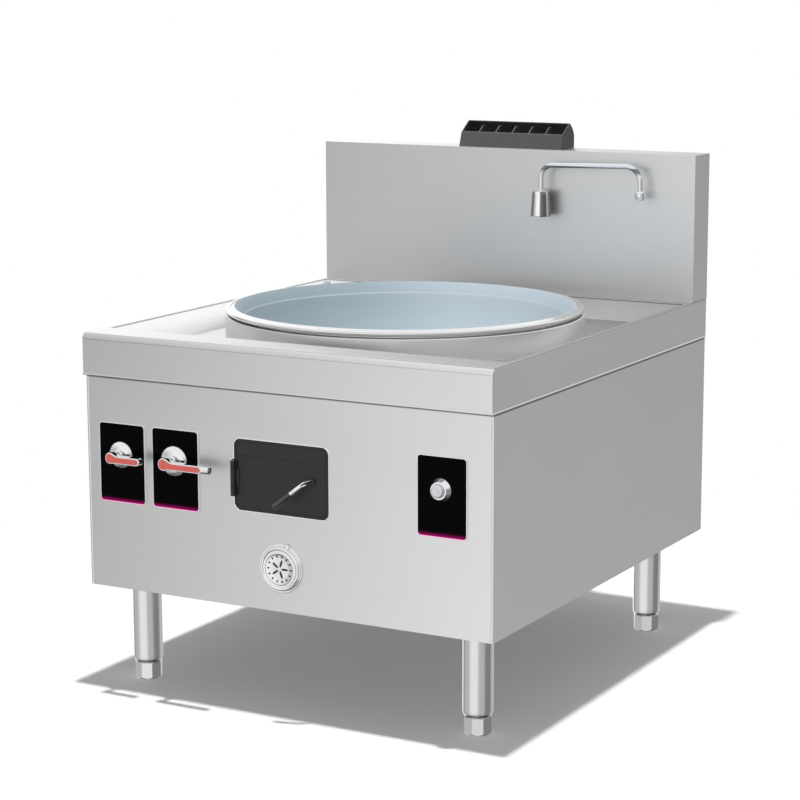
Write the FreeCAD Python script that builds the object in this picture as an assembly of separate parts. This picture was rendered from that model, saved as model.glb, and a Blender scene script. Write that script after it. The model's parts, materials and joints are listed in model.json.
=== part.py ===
import FreeCAD
import Part

import math
import os

V = FreeCAD.Vector

# A gas wok range, in millimetres. Z = 0 is the floor and Y = 0 is the front
# face of the fascia while the pieces are drawn; they are centred on export.

# ---- cabinet --------------------------------------------------------------
ring_radius = 407.0
side_margin = 93.0
front_margin = 142.0
back_margin = 86.8
splash_thickness = 88.1
cabinet_bottom = 226.4
cabinet_height = 472.2
apron_height = 92.6
splash_height = 345.3
side_inset = 1.8
front_inset = 10.0
sheet = 1.5
splash_sheet = 1.2
fold_width = 20.0
front_fold_width = 30.0
nose_radius = 12.7
bend_radius = 3.0
edge_round = 1.2
corner_relief = 0.6

half_width = ring_radius + side_margin
pot_y = front_margin + ring_radius
splash_front = pot_y + ring_radius + back_margin
body_depth = splash_front + splash_thickness
fascia_bottom = cabinet_bottom + cabinet_height
worktop_top = fascia_bottom + apron_height
splash_top = worktop_top + splash_height
panel_half = half_width - side_inset
inner_half = panel_half - sheet
panel_back = front_inset + sheet
rear_face = body_depth - sheet
rear_inner = rear_face - sheet
plate_top = cabinet_bottom + 2 * sheet

# ---- well in the worktop --------------------------------------------------
front_border = 85.0
lip_width = 10.0
slope_one_run = 53.0
slope_one_drop = 22.0
slope_two_run = 17.0
slope_two_drop = 21.5
rear_lip_width = 28.0
rear_slope_one_run = 26.0
rear_slope_two_run = 25.0
drain_x = 115.0 - half_width
drain_y = front_border + 37.0
drain_radius = 16.0
drain_wall = 2.0
drain_length = 46.0
well_floor = worktop_top - slope_one_drop - slope_two_drop
floor_underside = well_floor - sheet

# ---- pot ring and wok -----------------------------------------------------
ring_sheet = 2.0
ring_top = worktop_top + 9.8
ring_foot_width = 21.0
ring_bend_radius = 4.0
seat_height = worktop_top + 20.8
seat_radius = ring_radius - 15.0
wok_sheet = 2.5
wok_mouth_radius = seat_radius - 6.0
wok_mouth_height = worktop_top + 27.3
collar_radius = wok_mouth_radius - 19.0
collar_height = wok_mouth_height - 25.5
bowl_depth = 250.0
bead_radius = 5.5
bead_centre_radius = ring_radius - 6.5
bead_centre_height = seat_height - 1.5

# ---- legs, feet and inner frames ------------------------------------------
leg_x = half_width - 83.9
leg_front_y = 105.0
leg_back_y = body_depth - 136.5
leg_radius = 32.6
leg_wall = 2.0
leg_taper_top = 48.0
leg_end_height = 38.5
leg_end_radius = 29.0
leg_plug_top = 54.0
foot_flats = 57.0
foot_sides = 8
foot_turn = 26.0
foot_chamfer = 2.5
foot_ring_radius = 26.0
foot_ring_height = 2.0
foot_stem_radius = 8.0
foot_stem_top = 96.0
running_gap = 0.05
frame_leg = 30.0
frame_thickness = 3.0
leg_plate_size = 120.0
leg_plate_thickness = 4.0

# ---- firebox --------------------------------------------------------------
shell_radius = ring_radius - 23.0
shell_wall = 3.0
shell_flange_radius = ring_radius - 5.0
shell_bottom = floor_underside - 319.2
lining_mouth_radius = ring_radius - 45.0
hearth_height = shell_bottom + 53.0
burner_hole_radius = 76.0
floor_hole_radius = ring_radius - 29.0
flue_half_width = 105.0
flue_top = floor_underside - 26.2
flue_bottom = flue_top - 80.0
flue_front = splash_front + 23.2
flue_back = body_depth - 8.9
flue_sheet = 1.2
flue_clearance = 1.0

# ---- burner, gas and air --------------------------------------------------
burner_radius = 95.0
burner_wall = 4.0
burner_bottom = shell_bottom - 147.0
burner_flange_radius = 130.0
burner_throat_radius = 60.0
burner_branch = burner_radius + 15.0
head_radius = burner_hole_radius - 6.0
head_wall = 7.0
head_wall_top = shell_bottom + 35.0
head_top = head_wall_top + 22.0
head_slots = 24
head_slot_width = 3.5
head_slot_height = 20.0
lever_height = fascia_bottom - 170.6
pilot_lever_x = 94.0 - half_width
gas_lever_x = pilot_lever_x + 139.0
rail_radius = 17.0
rail_wall = 3.0
rail_bend = 2 * rail_radius
rail_x = 55.0 - half_width
rail_y = 62.0
rail_height = lever_height - 58.0
rail_end_x = gas_lever_x + 31.0
rail_rear_y = body_depth + 8.1
inlet_thread_radius = rail_radius - 0.4
inlet_thread_length = 9.5
riser_top = lever_height - 33.0
riser_radius = 13.0
main_pipe_radius = 13.5
main_pipe_wall = 2.5
main_pipe_height = shell_bottom - 37.0
main_pipe_drop_y = 125.0
main_pipe_bend = 2 * main_pipe_radius
pilot_pipe_radius = 5.0
pilot_pipe_wall = 1.0
pilot_pipe_height = shell_bottom - 22.0
pilot_pipe_drop_y = main_pipe_drop_y + 25.0
pilot_pipe_x = -45.0
pilot_pipe_bend = 14.0
duct_radius = 38.0
duct_wall = 1.5
duct_height = burner_bottom + 44.0
duct_bend = 60.0
blower_x = 170.0 - half_width
blower_y = body_depth - 120.9
blower_height = duct_height + 66.0
blower_width = 80.0
blower_mouth_y = blower_y - 110.0
scroll_start_radius = 88.0
scroll_growth = 17.0
blower_inlet_radius = 58.0
impeller_radius = 76.0
impeller_eye_radius = 56.0
impeller_blades = 24
impeller_end_gap = 6.0
motor_radius = 55.0
motor_length = 108.0
motor_ribs = 9
shaft_radius = 7.0

# ---- front controls -------------------------------------------------------
plate_depth = 3.5
plate_corner = 4.0
plate_below = 105.0
plate_above = 65.6
plate_half_width = 58.2
start_plate_below = 97.2
start_plate_above = 66.4
start_plate_left = 54.3
start_plate_right = 57.0
pilot_rose_radius = 30.5
gas_rose_radius = 34.0
rose_depth = 15.0
spindle_radius = 6.0
spindle_hole_radius = 9.0
lever_back_y = front_inset - 32.0
lever_front_y = lever_back_y - 16.0
lever_bar_height = 17.0
lever_arm_drop = 3.0
lever_blend = 30.0
lever_edge_round = 1.6
pilot_lever_reach = 76.0
pilot_lever_boss = 12.5
gas_lever_reach = 114.0
gas_lever_boss = 14.0
gas_tip_length = 17.0
gas_tip_overlap = 2.0
gas_tip_bore = 6.5
gas_arm_reach = gas_lever_reach - gas_tip_length
inlay_margin = 2.6
inlay_depth = 1.2
valve_front_y = panel_back + 22.5
valve_back_y = valve_front_y + 56.0
valve_radius = 21.0
button_x = half_width - 120.0
button_height = lever_height + 5.0
bezel_radius = 24.0
bezel_depth = 12.0
button_radius = 13.5
button_proud = 20.0
button_stroke = 3.5
button_stem_radius = 6.0
switch_size = 46.0
switch_back_y = panel_back + 50.5

# ---- hatch ----------------------------------------------------------------
leaf_left = -116.5
leaf_right = 114.0
leaf_top = fascia_bottom - 107.3
leaf_bottom = leaf_top - 152.5
leaf_corner = 15.0
leaf_thickness = 3.0
leaf_gap = 1.0
window_margin = 7.2
window_left = leaf_left + window_margin
window_right = leaf_right - window_margin
window_bottom = leaf_bottom + window_margin
window_top = leaf_top - window_margin
window_corner = 10.0
frame_border = 15.0
hatch_frame_thickness = 3.0
throat_sheet = 1.5
hinge_radius = 6.0
hinge_x = leaf_left
hinge_y = front_inset - hinge_radius
hinge_pin_radius = 3.0
hinge_middle = leaf_bottom + 67.7
hinge_door_length = 40.0
hinge_fixed_length = 17.5
hinge_gap = 0.5
hinge_strap = 4.0
latch_x = leaf_right - 39.4
latch_height = leaf_bottom + 77.5
latch_shaft_radius = 4.0
latch_flange_radius = 8.0
latch_flange_thickness = 3.0
latch_flange_gap = 0.5
latch_front_y = front_inset - 24.0
tongue_length = 46.0
tongue_width = 12.0
tongue_thickness = 3.0
tongue_angle = 307.0
tongue_gap = 0.5
grip_run = 62.4
grip_stand = 17.0
grip_drop = 52.1
grip_radius = 6.5
grip_share = 0.43
fork_lean = 6.8
fork_half_gap = 4.8
fork_end_half_gap = 2.7
fork_wire_radius = 2.0
ferrule_radius = 5.2

# ---- round port cover -----------------------------------------------------
port_x = -2.7
port_height = shell_bottom - 105.0
port_radius = 32.0
port_wall = 1.5
port_flange_radius = 44.0
cover_radius = 53.5
cover_rim = 1.5
cover_dish_radius = 43.0
cover_dish_depth = 9.0
cover_sheet = 1.2
cover_beads = 5
rivet_x = port_x + 15.9
rivet_height = port_height + 47.4
rivet_radius = 3.0

# ---- tap ------------------------------------------------------------------
tap_x = 118.5
tap_y = splash_front - 32.0
tap_bottom = worktop_top + 188.7
tap_top = tap_bottom + 61.0
tap_bottom_radius = 24.5
tap_top_radius = 20.5
tap_arm_left = tap_top + 62.0
tap_arm_right = tap_top + 68.0
tap_pipe_radius = 6.0
tap_pipe_wall = 1.0
tap_left_bend = 30.0
tap_right_bend = 38.0
tap_nozzle_x = tap_x + 257.0
tap_nozzle_top = tap_top + 11.0
tap_nozzle_bottom = tap_nozzle_top - 22.0
tap_nozzle_radius = 12.0
tap_stem_depth = 30.0
tap_tail_height = tap_bottom + 18.0
tap_tail_radius = 7.5
tap_tail_end = splash_front + 20.0

# ---- flue hood ------------------------------------------------------------
hood_x = 7.5
hood_half_width = 137.5
hood_front = splash_front + 19.2
hood_front_top = splash_top + 34.0
hood_lean = 12.0
hood_ridge_y = hood_front + 51.0
hood_ridge = splash_top + 60.5
hood_rear = body_depth + 8.6
hood_shoulder_y = hood_rear - 8.0
hood_shoulder = splash_top + 44.5
hood_rear_straight = 30.0
hood_sheet = 2.0
hood_slots = 6
hood_rib = 3.0
hood_rib_top = splash_top + 50.0
hood_rim = 3.0

# ---- small openings in the sheets -----------------------------------------
gland_x = -250.0
gland_height = cabinet_bottom + 63.6
gland_thread_radius = 8.0
gland_nut_radius = 12.0
vent_columns = 3
vent_rows = 6
vent_pitch_x = 200.0
vent_pitch_z = 22.0
vent_first_height = fascia_bottom - 158.6
vent_length = 120.0
vent_width = 8.0
intake_rows = 7
intake_pitch = 22.0
intake_length = 120.0
intake_width = 8.0


def block(x0, x1, y0, y1, z0, z1):
    return Part.makeBox(x1 - x0, y1 - y0, z1 - z0, V(x0, y0, z0))


def rod(radius, start, end):
    """Solid round bar between two points."""
    line = end - start
    return Part.makeCylinder(radius, line.Length, start, line)


def tube(radius, bore, start, end):
    """Round tube between two points."""
    line = end - start
    run = line * (1.0 / line.Length)
    return rod(radius, start, end).cut(rod(bore, start - run, end + run))


def turned(section, x, y):
    """Body turned about the upright line through x and y; section is (radius, z)."""
    wire = Part.makePolygon([V(x + r, y, z) for r, z in section + section[:1]])
    return Part.Face(wire).revolve(V(x, y, 0), V(0, 0, 1), 360)


def turned_front(section, x, z):
    """Body turned about the level front-to-back line; section is (radius, y)."""
    wire = Part.makePolygon([V(x + r, y, z) for r, y in section + section[:1]])
    return Part.Face(wire).revolve(V(x, 0, z), V(0, 1, 0), 360)


def rounded_plate(x0, x1, z0, z1, y0, y1, radius):
    """Upright plate with rounded corners, from y0 back to y1."""
    plate = block(x0, x1, y0, y1, z0, z1)
    corners = [e for e in plate.Edges if abs(e.tangentAt(e.FirstParameter).y) > 0.5]
    return plate.makeFillet(radius, corners)


def edges_where(shape, test):
    return [edge for edge in shape.Edges if test(edge.CenterOfMass)]


def route(points, bend):
    """Wire along straight runs with a round bend at each inner point."""
    edges = []
    last = points[0]
    for i in range(1, len(points) - 1):
        here = points[i]
        back = (points[i - 1] - here).normalize()
        ahead = (points[i + 1] - here).normalize()
        half = back.getAngle(ahead) / 2
        cut = bend / math.tan(half)
        start = here + back * cut
        end = here + ahead * cut
        middle = (back + ahead).normalize()
        centre = here + middle * (bend / math.sin(half))
        edges.append(Part.LineSegment(last, start).toShape())
        edges.append(Part.Arc(start, centre - middle * bend, end).toShape())
        last = end
    edges.append(Part.LineSegment(last, points[-1]).toShape())
    return Part.Wire(edges)


def bent_bar(points, bend, radius):
    path = route(points, bend)
    start = points[0]
    run = points[1] - start
    circle = Part.Wire([Part.makeCircle(radius, start, run)])
    return path.makePipeShell([circle], True, False)


def bent_pipe(points, bend, radius, wall):
    return bent_bar(points, bend, radius).cut(bent_bar(points, bend, radius - wall))


def ring_of(tool, count, x, y):
    """The tool repeated evenly about the upright line through x and y."""
    copies = []
    for i in range(count):
        copy = tool.copy()
        copy.rotate(V(x, y, 0), V(0, 0, 1), 360.0 * i / count)
        copies.append(copy)
    return Part.makeCompound(copies)


def level_rect(x, y0, y1, z):
    corners = [V(-x, y0, z), V(x, y0, z), V(x, y1, z), V(-x, y1, z), V(-x, y0, z)]
    return Part.makePolygon(corners)


def well_space(grow):
    """Space of the drain well: upright in front, two slopes on the other sides."""
    lip = half_width - lip_width + grow
    crease = lip - slope_one_run
    foot = crease - slope_two_run
    front = front_border - grow
    back = splash_front - rear_lip_width + grow
    crease_z = worktop_top - slope_one_drop - grow
    foot_z = well_floor - grow
    back_crease = back - rear_slope_one_run
    back_foot = back_crease - rear_slope_two_run
    upper = Part.makeLoft([level_rect(lip, front, back, worktop_top),
                           level_rect(crease, front, back_crease, crease_z)], True, True)
    lower = Part.makeLoft([level_rect(crease, front, back_crease, crease_z),
                           level_rect(foot, front, back_foot, foot_z)], True, True)
    return upper.fuse(lower)


def worktop_skin(inset):
    """Outer form of the folded worktop: a big round nose and small corner bends."""
    half = half_width - inset
    top = worktop_top - inset
    skin = block(-half, half, inset, body_depth - inset, fascia_bottom, top)
    nose = edges_where(skin, lambda c: c.y < inset + 0.1 and c.z > top - 0.1)
    skin = skin.makeFillet(nose_radius - inset, nose)
    bends = edges_where(skin, lambda c: abs(c.x) > half - 0.1 and c.z > fascia_bottom + 1)
    return skin.makeFillet(bend_radius - inset, bends)


def worktop():
    """Folded worktop with a deep apron, a sloping drain well and a round hole."""
    top = worktop_skin(0.0).cut(worktop_skin(sheet))
    fold = block(-half_width, half_width, 0, body_depth, fascia_bottom, fascia_bottom + sheet)
    fold = fold.cut(block(-half_width + fold_width, half_width - fold_width,
                          front_fold_width, body_depth - fold_width,
                          fascia_bottom - sheet, fascia_bottom + 2 * sheet))
    top = top.fuse(fold).fuse(well_space(sheet).common(worktop_skin(0.0)))
    top = top.cut(well_space(0.0))
    drain_base = floor_underside - drain_length
    drain = rod(drain_radius + drain_wall, V(drain_x, drain_y, drain_base),
                V(drain_x, drain_y, floor_underside))
    top = top.fuse(drain)
    top = top.cut(rod(drain_radius, V(drain_x, drain_y, drain_base - sheet),
                      V(drain_x, drain_y, well_floor + sheet)))
    top = top.cut(rod(floor_hole_radius, V(0, pot_y, floor_underside - sheet),
                      V(0, pot_y, well_floor + sheet)))
    slot = flue_half_width + flue_sheet + flue_clearance
    return top.cut(block(-slot, slot, flue_front - flue_clearance,
                         flue_back + flue_clearance, fascia_bottom - sheet,
                         worktop_top + sheet))


def pot_ring():
    """Round upstand in the well; its inner lip carries the wok."""
    outer = ring_radius
    inner = outer - ring_sheet
    shelf = ring_top - ring_sheet
    foot = well_floor + ring_sheet
    lip = seat_radius - ring_sheet
    section = [(outer - ring_foot_width, well_floor), (outer, well_floor),
               (outer, ring_top), (seat_radius, ring_top), (seat_radius, seat_height),
               (lip, seat_height), (lip, shelf), (inner, shelf), (inner, foot),
               (outer - ring_foot_width, foot)]
    ring = turned(section, 0, pot_y)
    bend = [e for e in ring.Edges if abs(e.CenterOfMass.z - ring_top) < 0.01
            and abs(e.Curve.Radius - outer) < 0.01]
    return ring.makeFillet(ring_bend_radius / 2, bend)


def sphere_point(radius, centre_z, z):
    return V(math.sqrt(radius ** 2 - (centre_z - z) ** 2), pot_y, z)


def bowl_section(rim, radius, centre_z):
    """Half section of a bowl: straight rim points, then an arc down to the axis."""
    start = rim[-1]
    bottom = V(0, pot_y, centre_z - radius)
    half_turn = math.acos((centre_z - start.z) / radius) / 2
    middle = V(radius * math.sin(half_turn), pot_y, centre_z - radius * math.cos(half_turn))
    edges = [Part.LineSegment(rim[i], rim[i + 1]).toShape() for i in range(len(rim) - 1)]
    edges.append(Part.Arc(start, middle, bottom).toShape())
    edges.append(Part.LineSegment(bottom, V(0, pot_y, rim[0].z)).toShape())
    edges.append(Part.LineSegment(V(0, pot_y, rim[0].z), rim[0]).toShape())
    return Part.Face(Part.Wire(edges)).revolve(V(0, pot_y, 0), V(0, 0, 1), 360)


def wok():
    """Deep round bowl with a conical collar, a sloping flange and a rolled bead."""
    bowl_radius = (collar_radius ** 2 + bowl_depth ** 2) / (2 * bowl_depth)
    centre_z = collar_height - bowl_depth + bowl_radius
    outer_radius = bowl_radius + wok_sheet
    rise = wok_mouth_height - collar_height
    slope = (wok_mouth_radius - collar_radius) / rise
    spread = wok_sheet * math.hypot(1, slope)
    seat_edge = collar_radius + spread + slope * (seat_height - collar_height)
    joint_z = collar_height - wok_sheet
    joint = sphere_point(outer_radius, centre_z, joint_z)
    outside = [V(wok_mouth_radius + spread, pot_y, wok_mouth_height),
               V(seat_edge, pot_y, seat_height), joint]
    inside = [V(wok_mouth_radius + 2 * slope, pot_y, wok_mouth_height + 2),
              V(collar_radius, pot_y, collar_height)]
    shell = bowl_section(outside, outer_radius, centre_z)
    groove_radius = bead_centre_radius - bead_radius + 0.5
    bead_top = bead_centre_height + bead_radius
    groove_height = bead_top - wok_sheet
    flange = turned([(seat_edge - 1, seat_height), (bead_centre_radius, seat_height),
                     (bead_centre_radius, groove_height), (groove_radius, groove_height),
                     (wok_mouth_radius, wok_mouth_height), (seat_edge - 4, wok_mouth_height)],
                    0, pot_y)
    bead = Part.makeTorus(bead_centre_radius, bead_radius, V(0, pot_y, bead_centre_height))
    top = block(-half_width, half_width, 0, body_depth, wok_mouth_height, splash_top)
    body = shell.fuse(flange).fuse(bead).cut(top)
    return body.cut(bowl_section(inside, bowl_radius, centre_z)).removeSplitter()


def ring_plate(y0, y1, outer, window, radius):
    """Upright plate with a rounded window; outer and window are x0, x1, z0, z1."""
    plate = rounded_plate(outer[0], outer[1], outer[2], outer[3], y0, y1, radius)
    return plate.cut(rounded_plate(window[0], window[1], window[2], window[3],
                                   y0 - 1, y1 + 1, radius))


def backsplash():
    """Tall folded box at the back of the worktop, open behind and below."""
    box = block(-half_width, half_width, splash_front, body_depth, worktop_top, splash_top)
    hollow_half = half_width - splash_sheet
    box = box.cut(block(-hollow_half, hollow_half, splash_front + splash_sheet,
                        body_depth + 1, worktop_top - 1, splash_top - splash_sheet))
    foot = block(-hollow_half, hollow_half, splash_front + splash_sheet,
                 splash_front + fold_width, worktop_top, worktop_top + splash_sheet)
    cover_front = body_depth - splash_sheet
    box = box.fuse(foot)
    for side in (-1, 1):
        edge = side * hollow_half
        fold = edge - side * fold_width
        box = box.fuse(block(min(edge, fold), max(edge, fold), cover_front - splash_sheet,
                             cover_front, worktop_top, splash_top - splash_sheet))
    slot = flue_half_width + flue_sheet + flue_clearance
    box = box.cut(block(-slot, slot, flue_front - flue_clearance,
                        flue_back + flue_clearance, splash_top - 2 * sheet, splash_top + 1))
    return box.cut(rod(tap_tail_radius + 0.5, V(tap_x, splash_front - 1, tap_tail_height),
                       V(tap_x, splash_front + fold_width, tap_tail_height)))


def backsplash_cover():
    hollow_half = half_width - splash_sheet
    return block(-hollow_half, hollow_half, body_depth - splash_sheet, body_depth,
                 worktop_top, splash_top - splash_sheet)


def hood_block(inset):
    """Solid wedge of the flue outlet, its rear corner curved."""
    lean = hood_lean * (1 - inset / (hood_front_top - splash_top))
    front = hood_front + inset
    floor = splash_top - inset / 2
    front_top = V(0, front + lean, hood_front_top - inset / 2)
    ridge = V(0, hood_ridge_y, hood_ridge - inset)
    shoulder = V(0, hood_shoulder_y - 0.7 * inset, hood_shoulder - 0.7 * inset)
    rear = V(0, hood_rear - inset, splash_top + hood_rear_straight)
    edges = [Part.LineSegment(V(0, front, floor), front_top).toShape(),
             Part.LineSegment(front_top, ridge).toShape(),
             Part.Arc(ridge, shoulder, rear).toShape(),
             Part.LineSegment(rear, V(0, hood_rear - inset, floor)).toShape(),
             Part.LineSegment(V(0, hood_rear - inset, floor), V(0, front, floor)).toShape()]
    face = Part.Face(Part.Wire(edges))
    half = hood_half_width - inset
    face.translate(V(hood_x - half, 0, 0))
    solid = face.extrude(V(2 * half, 0, 0))
    return solid


def flue_hood():
    """Cast outlet over the flue, its slope open with upright ribs behind the lip."""
    hood = hood_block(0.0).cut(hood_block(hood_sheet))
    span = 2 * (hood_half_width - hood_rim)
    pitch = span / hood_slots
    run = hood_ridge_y - hood_front - hood_lean
    slope = math.atan2(hood_ridge - hood_front_top, run)
    length = math.hypot(hood_ridge - hood_front_top, run)
    mouth = block(-span / 2, span / 2, hood_rim, length - hood_rim, -10, 10)
    mouth.rotate(V(0, 0, 0), V(1, 0, 0), math.degrees(slope))
    mouth.translate(V(hood_x, hood_front + hood_lean, hood_front_top))
    hood = hood.cut(mouth)
    for i in range(1, hood_slots):
        middle = hood_x - span / 2 + i * pitch
        rib = hood_block(0.0).common(block(middle - hood_rib / 2, middle + hood_rib / 2,
                                           hood_front, hood_ridge_y, splash_top + 22,
                                           hood_rib_top))
        hood = hood.fuse(rib)
    return hood


def flue_duct():
    """Rectangular duct from the back of the firebox up to the outlet."""
    wide = flue_half_width + flue_sheet
    outer = block(-wide, wide, pot_y, flue_back, flue_bottom, flue_top)
    outer = outer.fuse(block(-wide, wide, flue_front, flue_back, flue_bottom, splash_top))
    inner = block(-flue_half_width, flue_half_width, pot_y, flue_back - flue_sheet,
                  flue_bottom + flue_sheet, flue_top - flue_sheet)
    inner = inner.fuse(block(-flue_half_width, flue_half_width, flue_front + flue_sheet,
                             flue_back - flue_sheet, flue_bottom + flue_sheet,
                             splash_top + 1))
    drum = rod(shell_radius, V(0, pot_y, flue_bottom - 1), V(0, pot_y, flue_top + 1))
    return outer.cut(inner).cut(drum)


def hatch_opening(grow, y0, y1):
    left = leaf_left - grow
    right = leaf_right + grow
    return rounded_plate(left, right, leaf_bottom - grow, leaf_top + grow, y0, y1,
                         leaf_corner + grow)


def hinge_notch(y0, y1):
    reach = hinge_door_length / 2 + hinge_gap + hinge_fixed_length + leaf_gap
    return block(hinge_x - hinge_radius - leaf_gap, hinge_x + 1, y0, y1,
                 hinge_middle - reach, hinge_middle + reach)


def front_panel():
    """Front sheet with folded edges and the openings for the controls and hatch."""
    panel = block(-panel_half, panel_half, front_inset, panel_back,
                  cabinet_bottom, fascia_bottom)
    corners = edges_where(panel, lambda c: c.y < front_inset + 0.1
                          and abs(c.x) > panel_half - 0.1)
    panel = panel.makeFillet(edge_round, corners)
    fold_half = inner_half - fold_width - corner_relief
    for low in (cabinet_bottom, fascia_bottom - sheet):
        panel = panel.fuse(block(-fold_half, fold_half, panel_back, panel_back + fold_width,
                                 low, low + sheet))
    panel = panel.cut(hatch_opening(leaf_gap, 0, fold_width))
    panel = panel.cut(hinge_notch(0, fold_width))
    for x in (pilot_lever_x, gas_lever_x):
        panel = panel.cut(rod(spindle_hole_radius + 3, V(x, 0, lever_height),
                              V(x, fold_width, lever_height)))
    panel = panel.cut(rod(button_radius + 3, V(button_x, 0, button_height),
                          V(button_x, fold_width, button_height)))
    return panel.cut(rod(port_radius, V(port_x, 0, port_height),
                         V(port_x, fold_width, port_height)))


def side_panel(side):
    """Side sheet with a fold along all four edges."""
    outer = side * panel_half
    inner = side * inner_half
    fold = side * (inner_half - fold_width)
    panel = block(min(outer, inner), max(outer, inner), panel_back, rear_inner,
                  cabinet_bottom, fascia_bottom)
    low = min(inner, fold)
    high = max(inner, fold)
    for z in (cabinet_bottom, fascia_bottom - sheet):
        panel = panel.fuse(block(low, high, panel_back, rear_inner, z, z + sheet))
    for y in (panel_back, rear_inner - sheet):
        panel = panel.fuse(block(low, high, y, y + sheet, plate_top, fascia_bottom))
    return panel


def back_panel():
    """Back sheet with a gas inlet hole, a cable hole and rows of air slots."""
    panel = block(-panel_half, panel_half, rear_inner, rear_face,
                  cabinet_bottom, fascia_bottom)
    fold_half = inner_half - fold_width - corner_relief
    for low in (cabinet_bottom, fascia_bottom - sheet):
        panel = panel.fuse(block(-fold_half, fold_half, rear_inner - fold_width, rear_inner,
                                 low, low + sheet))
    slot = flue_half_width + flue_sheet + flue_clearance
    panel = panel.cut(block(-slot, slot, flue_front, flue_back + flue_clearance,
                            fascia_bottom - 2 * sheet, fascia_bottom + sheet))
    panel = panel.cut(rod(rail_radius + 1, V(rail_x, rear_inner - 1, rail_height),
                          V(rail_x, body_depth, rail_height)))
    panel = panel.cut(rod(gland_thread_radius, V(gland_x, rear_inner - 1, gland_height),
                          V(gland_x, body_depth, gland_height)))
    for column in range(vent_columns):
        x = vent_pitch_x * (column - (vent_columns - 1) / 2)
        for row in range(vent_rows):
            z = vent_first_height + vent_pitch_z * row
            panel = panel.cut(rounded_plate(x - vent_length / 2, x + vent_length / 2,
                                            z, z + vent_width, rear_inner - 1, body_depth,
                                            vent_width / 2 - 0.01))
    return panel


def bottom_plate():
    """Floor sheet of the cabinet with an air intake beside the blower."""
    plate = block(-inner_half, inner_half, panel_back, rear_inner,
                  cabinet_bottom + sheet, plate_top)
    for row in range(intake_rows):
        y = blower_y + intake_pitch * (row - (intake_rows - 1) / 2)
        plate = plate.cut(block(blower_x + blower_width / 2 + 20,
                                blower_x + blower_width / 2 + 20 + intake_length,
                                y, y + intake_width, cabinet_bottom, plate_top + 1))
    return plate


def side_frame(side):
    """Welded angle frame inside one side, with the plates that carry two legs."""
    wall = side * inner_half
    web = side * (inner_half - frame_thickness)
    reach = side * (inner_half - frame_leg)
    low = plate_top
    high = fascia_bottom - sheet
    y0 = panel_back + sheet
    y1 = rear_inner - sheet
    frame = block(min(wall, web), max(wall, web), y0, y1, low, high)
    frame = frame.cut(block(min(wall, reach), max(wall, reach), y0 + frame_leg,
                            y1 - frame_leg, low + frame_leg, high - frame_leg))
    band = block(min(web, reach), max(web, reach), y0, y1, low, high)
    band = band.cut(block(min(web, reach), max(web, reach), y0 + frame_thickness,
                          y1 - frame_thickness, low + frame_thickness,
                          high - frame_thickness))
    frame = frame.fuse(band)
    plate_inner = side * (inner_half - leg_plate_size)
    for y in (leg_front_y, leg_back_y):
        frame = frame.fuse(block(min(wall, plate_inner), max(wall, plate_inner),
                                 y - leg_plate_size / 2, y + leg_plate_size / 2,
                                 low, low + leg_plate_thickness))
    return frame


def leg_tube(x, y):
    """Round leg with a tapered end plug and a smooth bore for the foot's stem."""
    bore = foot_stem_radius + running_gap
    section = [(bore, leg_end_height), (leg_end_radius, leg_end_height),
               (leg_radius, leg_taper_top), (leg_radius, cabinet_bottom + sheet),
               (leg_radius - leg_wall, cabinet_bottom + sheet),
               (leg_radius - leg_wall, leg_plug_top), (bore, leg_plug_top)]
    return turned(section, x, y)


def foot(x, y):
    """Eight-sided levelling foot with its stem."""
    height = leg_end_height - foot_ring_height
    corner = foot_flats / 2 / math.cos(math.pi / foot_sides)
    outline = []
    for i in range(foot_sides + 1):
        angle = math.radians(foot_turn) + 2 * math.pi * (i + 0.5) / foot_sides
        outline.append(V(x + corner * math.cos(angle), y + corner * math.sin(angle), 0))
    body = Part.Face(Part.makePolygon(outline)).extrude(V(0, 0, height))
    cone = turned([(0, 0), (foot_flats / 2 - foot_chamfer / 2, 0),
                   (corner + 1, foot_chamfer * 2), (corner + 1, height), (0, height)], x, y)
    body = body.common(cone)
    body = body.fuse(rod(foot_ring_radius, V(x, y, height - 1), V(x, y, leg_end_height)))
    return body.fuse(rod(foot_stem_radius, V(x, y, height), V(x, y, foot_stem_top)))


def lining_sphere():
    rise = floor_underside - hearth_height
    return (lining_mouth_radius ** 2 + rise ** 2) / (2 * rise)


def throat_space(grow, y0, y1):
    return block(window_left - grow, window_right + grow, y0, y1,
                 window_bottom - grow, window_top + grow)


def firebox_shell():
    """Steel drum hung under the well, open above, with a flue and a hatch opening."""
    inner = shell_radius - shell_wall
    floor = shell_bottom + shell_wall
    flange = floor_underside - shell_wall
    section = [(burner_hole_radius, shell_bottom), (shell_radius, shell_bottom),
               (shell_radius, flange), (shell_flange_radius, flange),
               (shell_flange_radius, floor_underside), (inner, floor_underside),
               (inner, floor), (burner_hole_radius, floor)]
    drum = turned(section, 0, pot_y)
    drum = drum.cut(block(-flue_half_width, flue_half_width, pot_y, body_depth,
                          flue_bottom + flue_sheet, flue_top - flue_sheet))
    return drum.cut(throat_space(0.0, 0, pot_y))


def firebox_lining():
    """Cast refractory bowl that keeps an even gap below the wok."""
    radius = shell_radius - shell_wall
    lining = rod(radius, V(0, pot_y, shell_bottom + shell_wall), V(0, pot_y, floor_underside))
    sphere = lining_sphere()
    lining = lining.cut(Part.makeSphere(sphere, V(0, pot_y, hearth_height + sphere)))
    lining = lining.cut(rod(burner_hole_radius, V(0, pot_y, shell_bottom),
                            V(0, pot_y, floor_underside)))
    lining = lining.cut(block(-flue_half_width, flue_half_width, pot_y, body_depth,
                              flue_bottom + flue_sheet, flue_top - flue_sheet))
    return lining.cut(throat_space(0.0, 0, pot_y))


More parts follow.
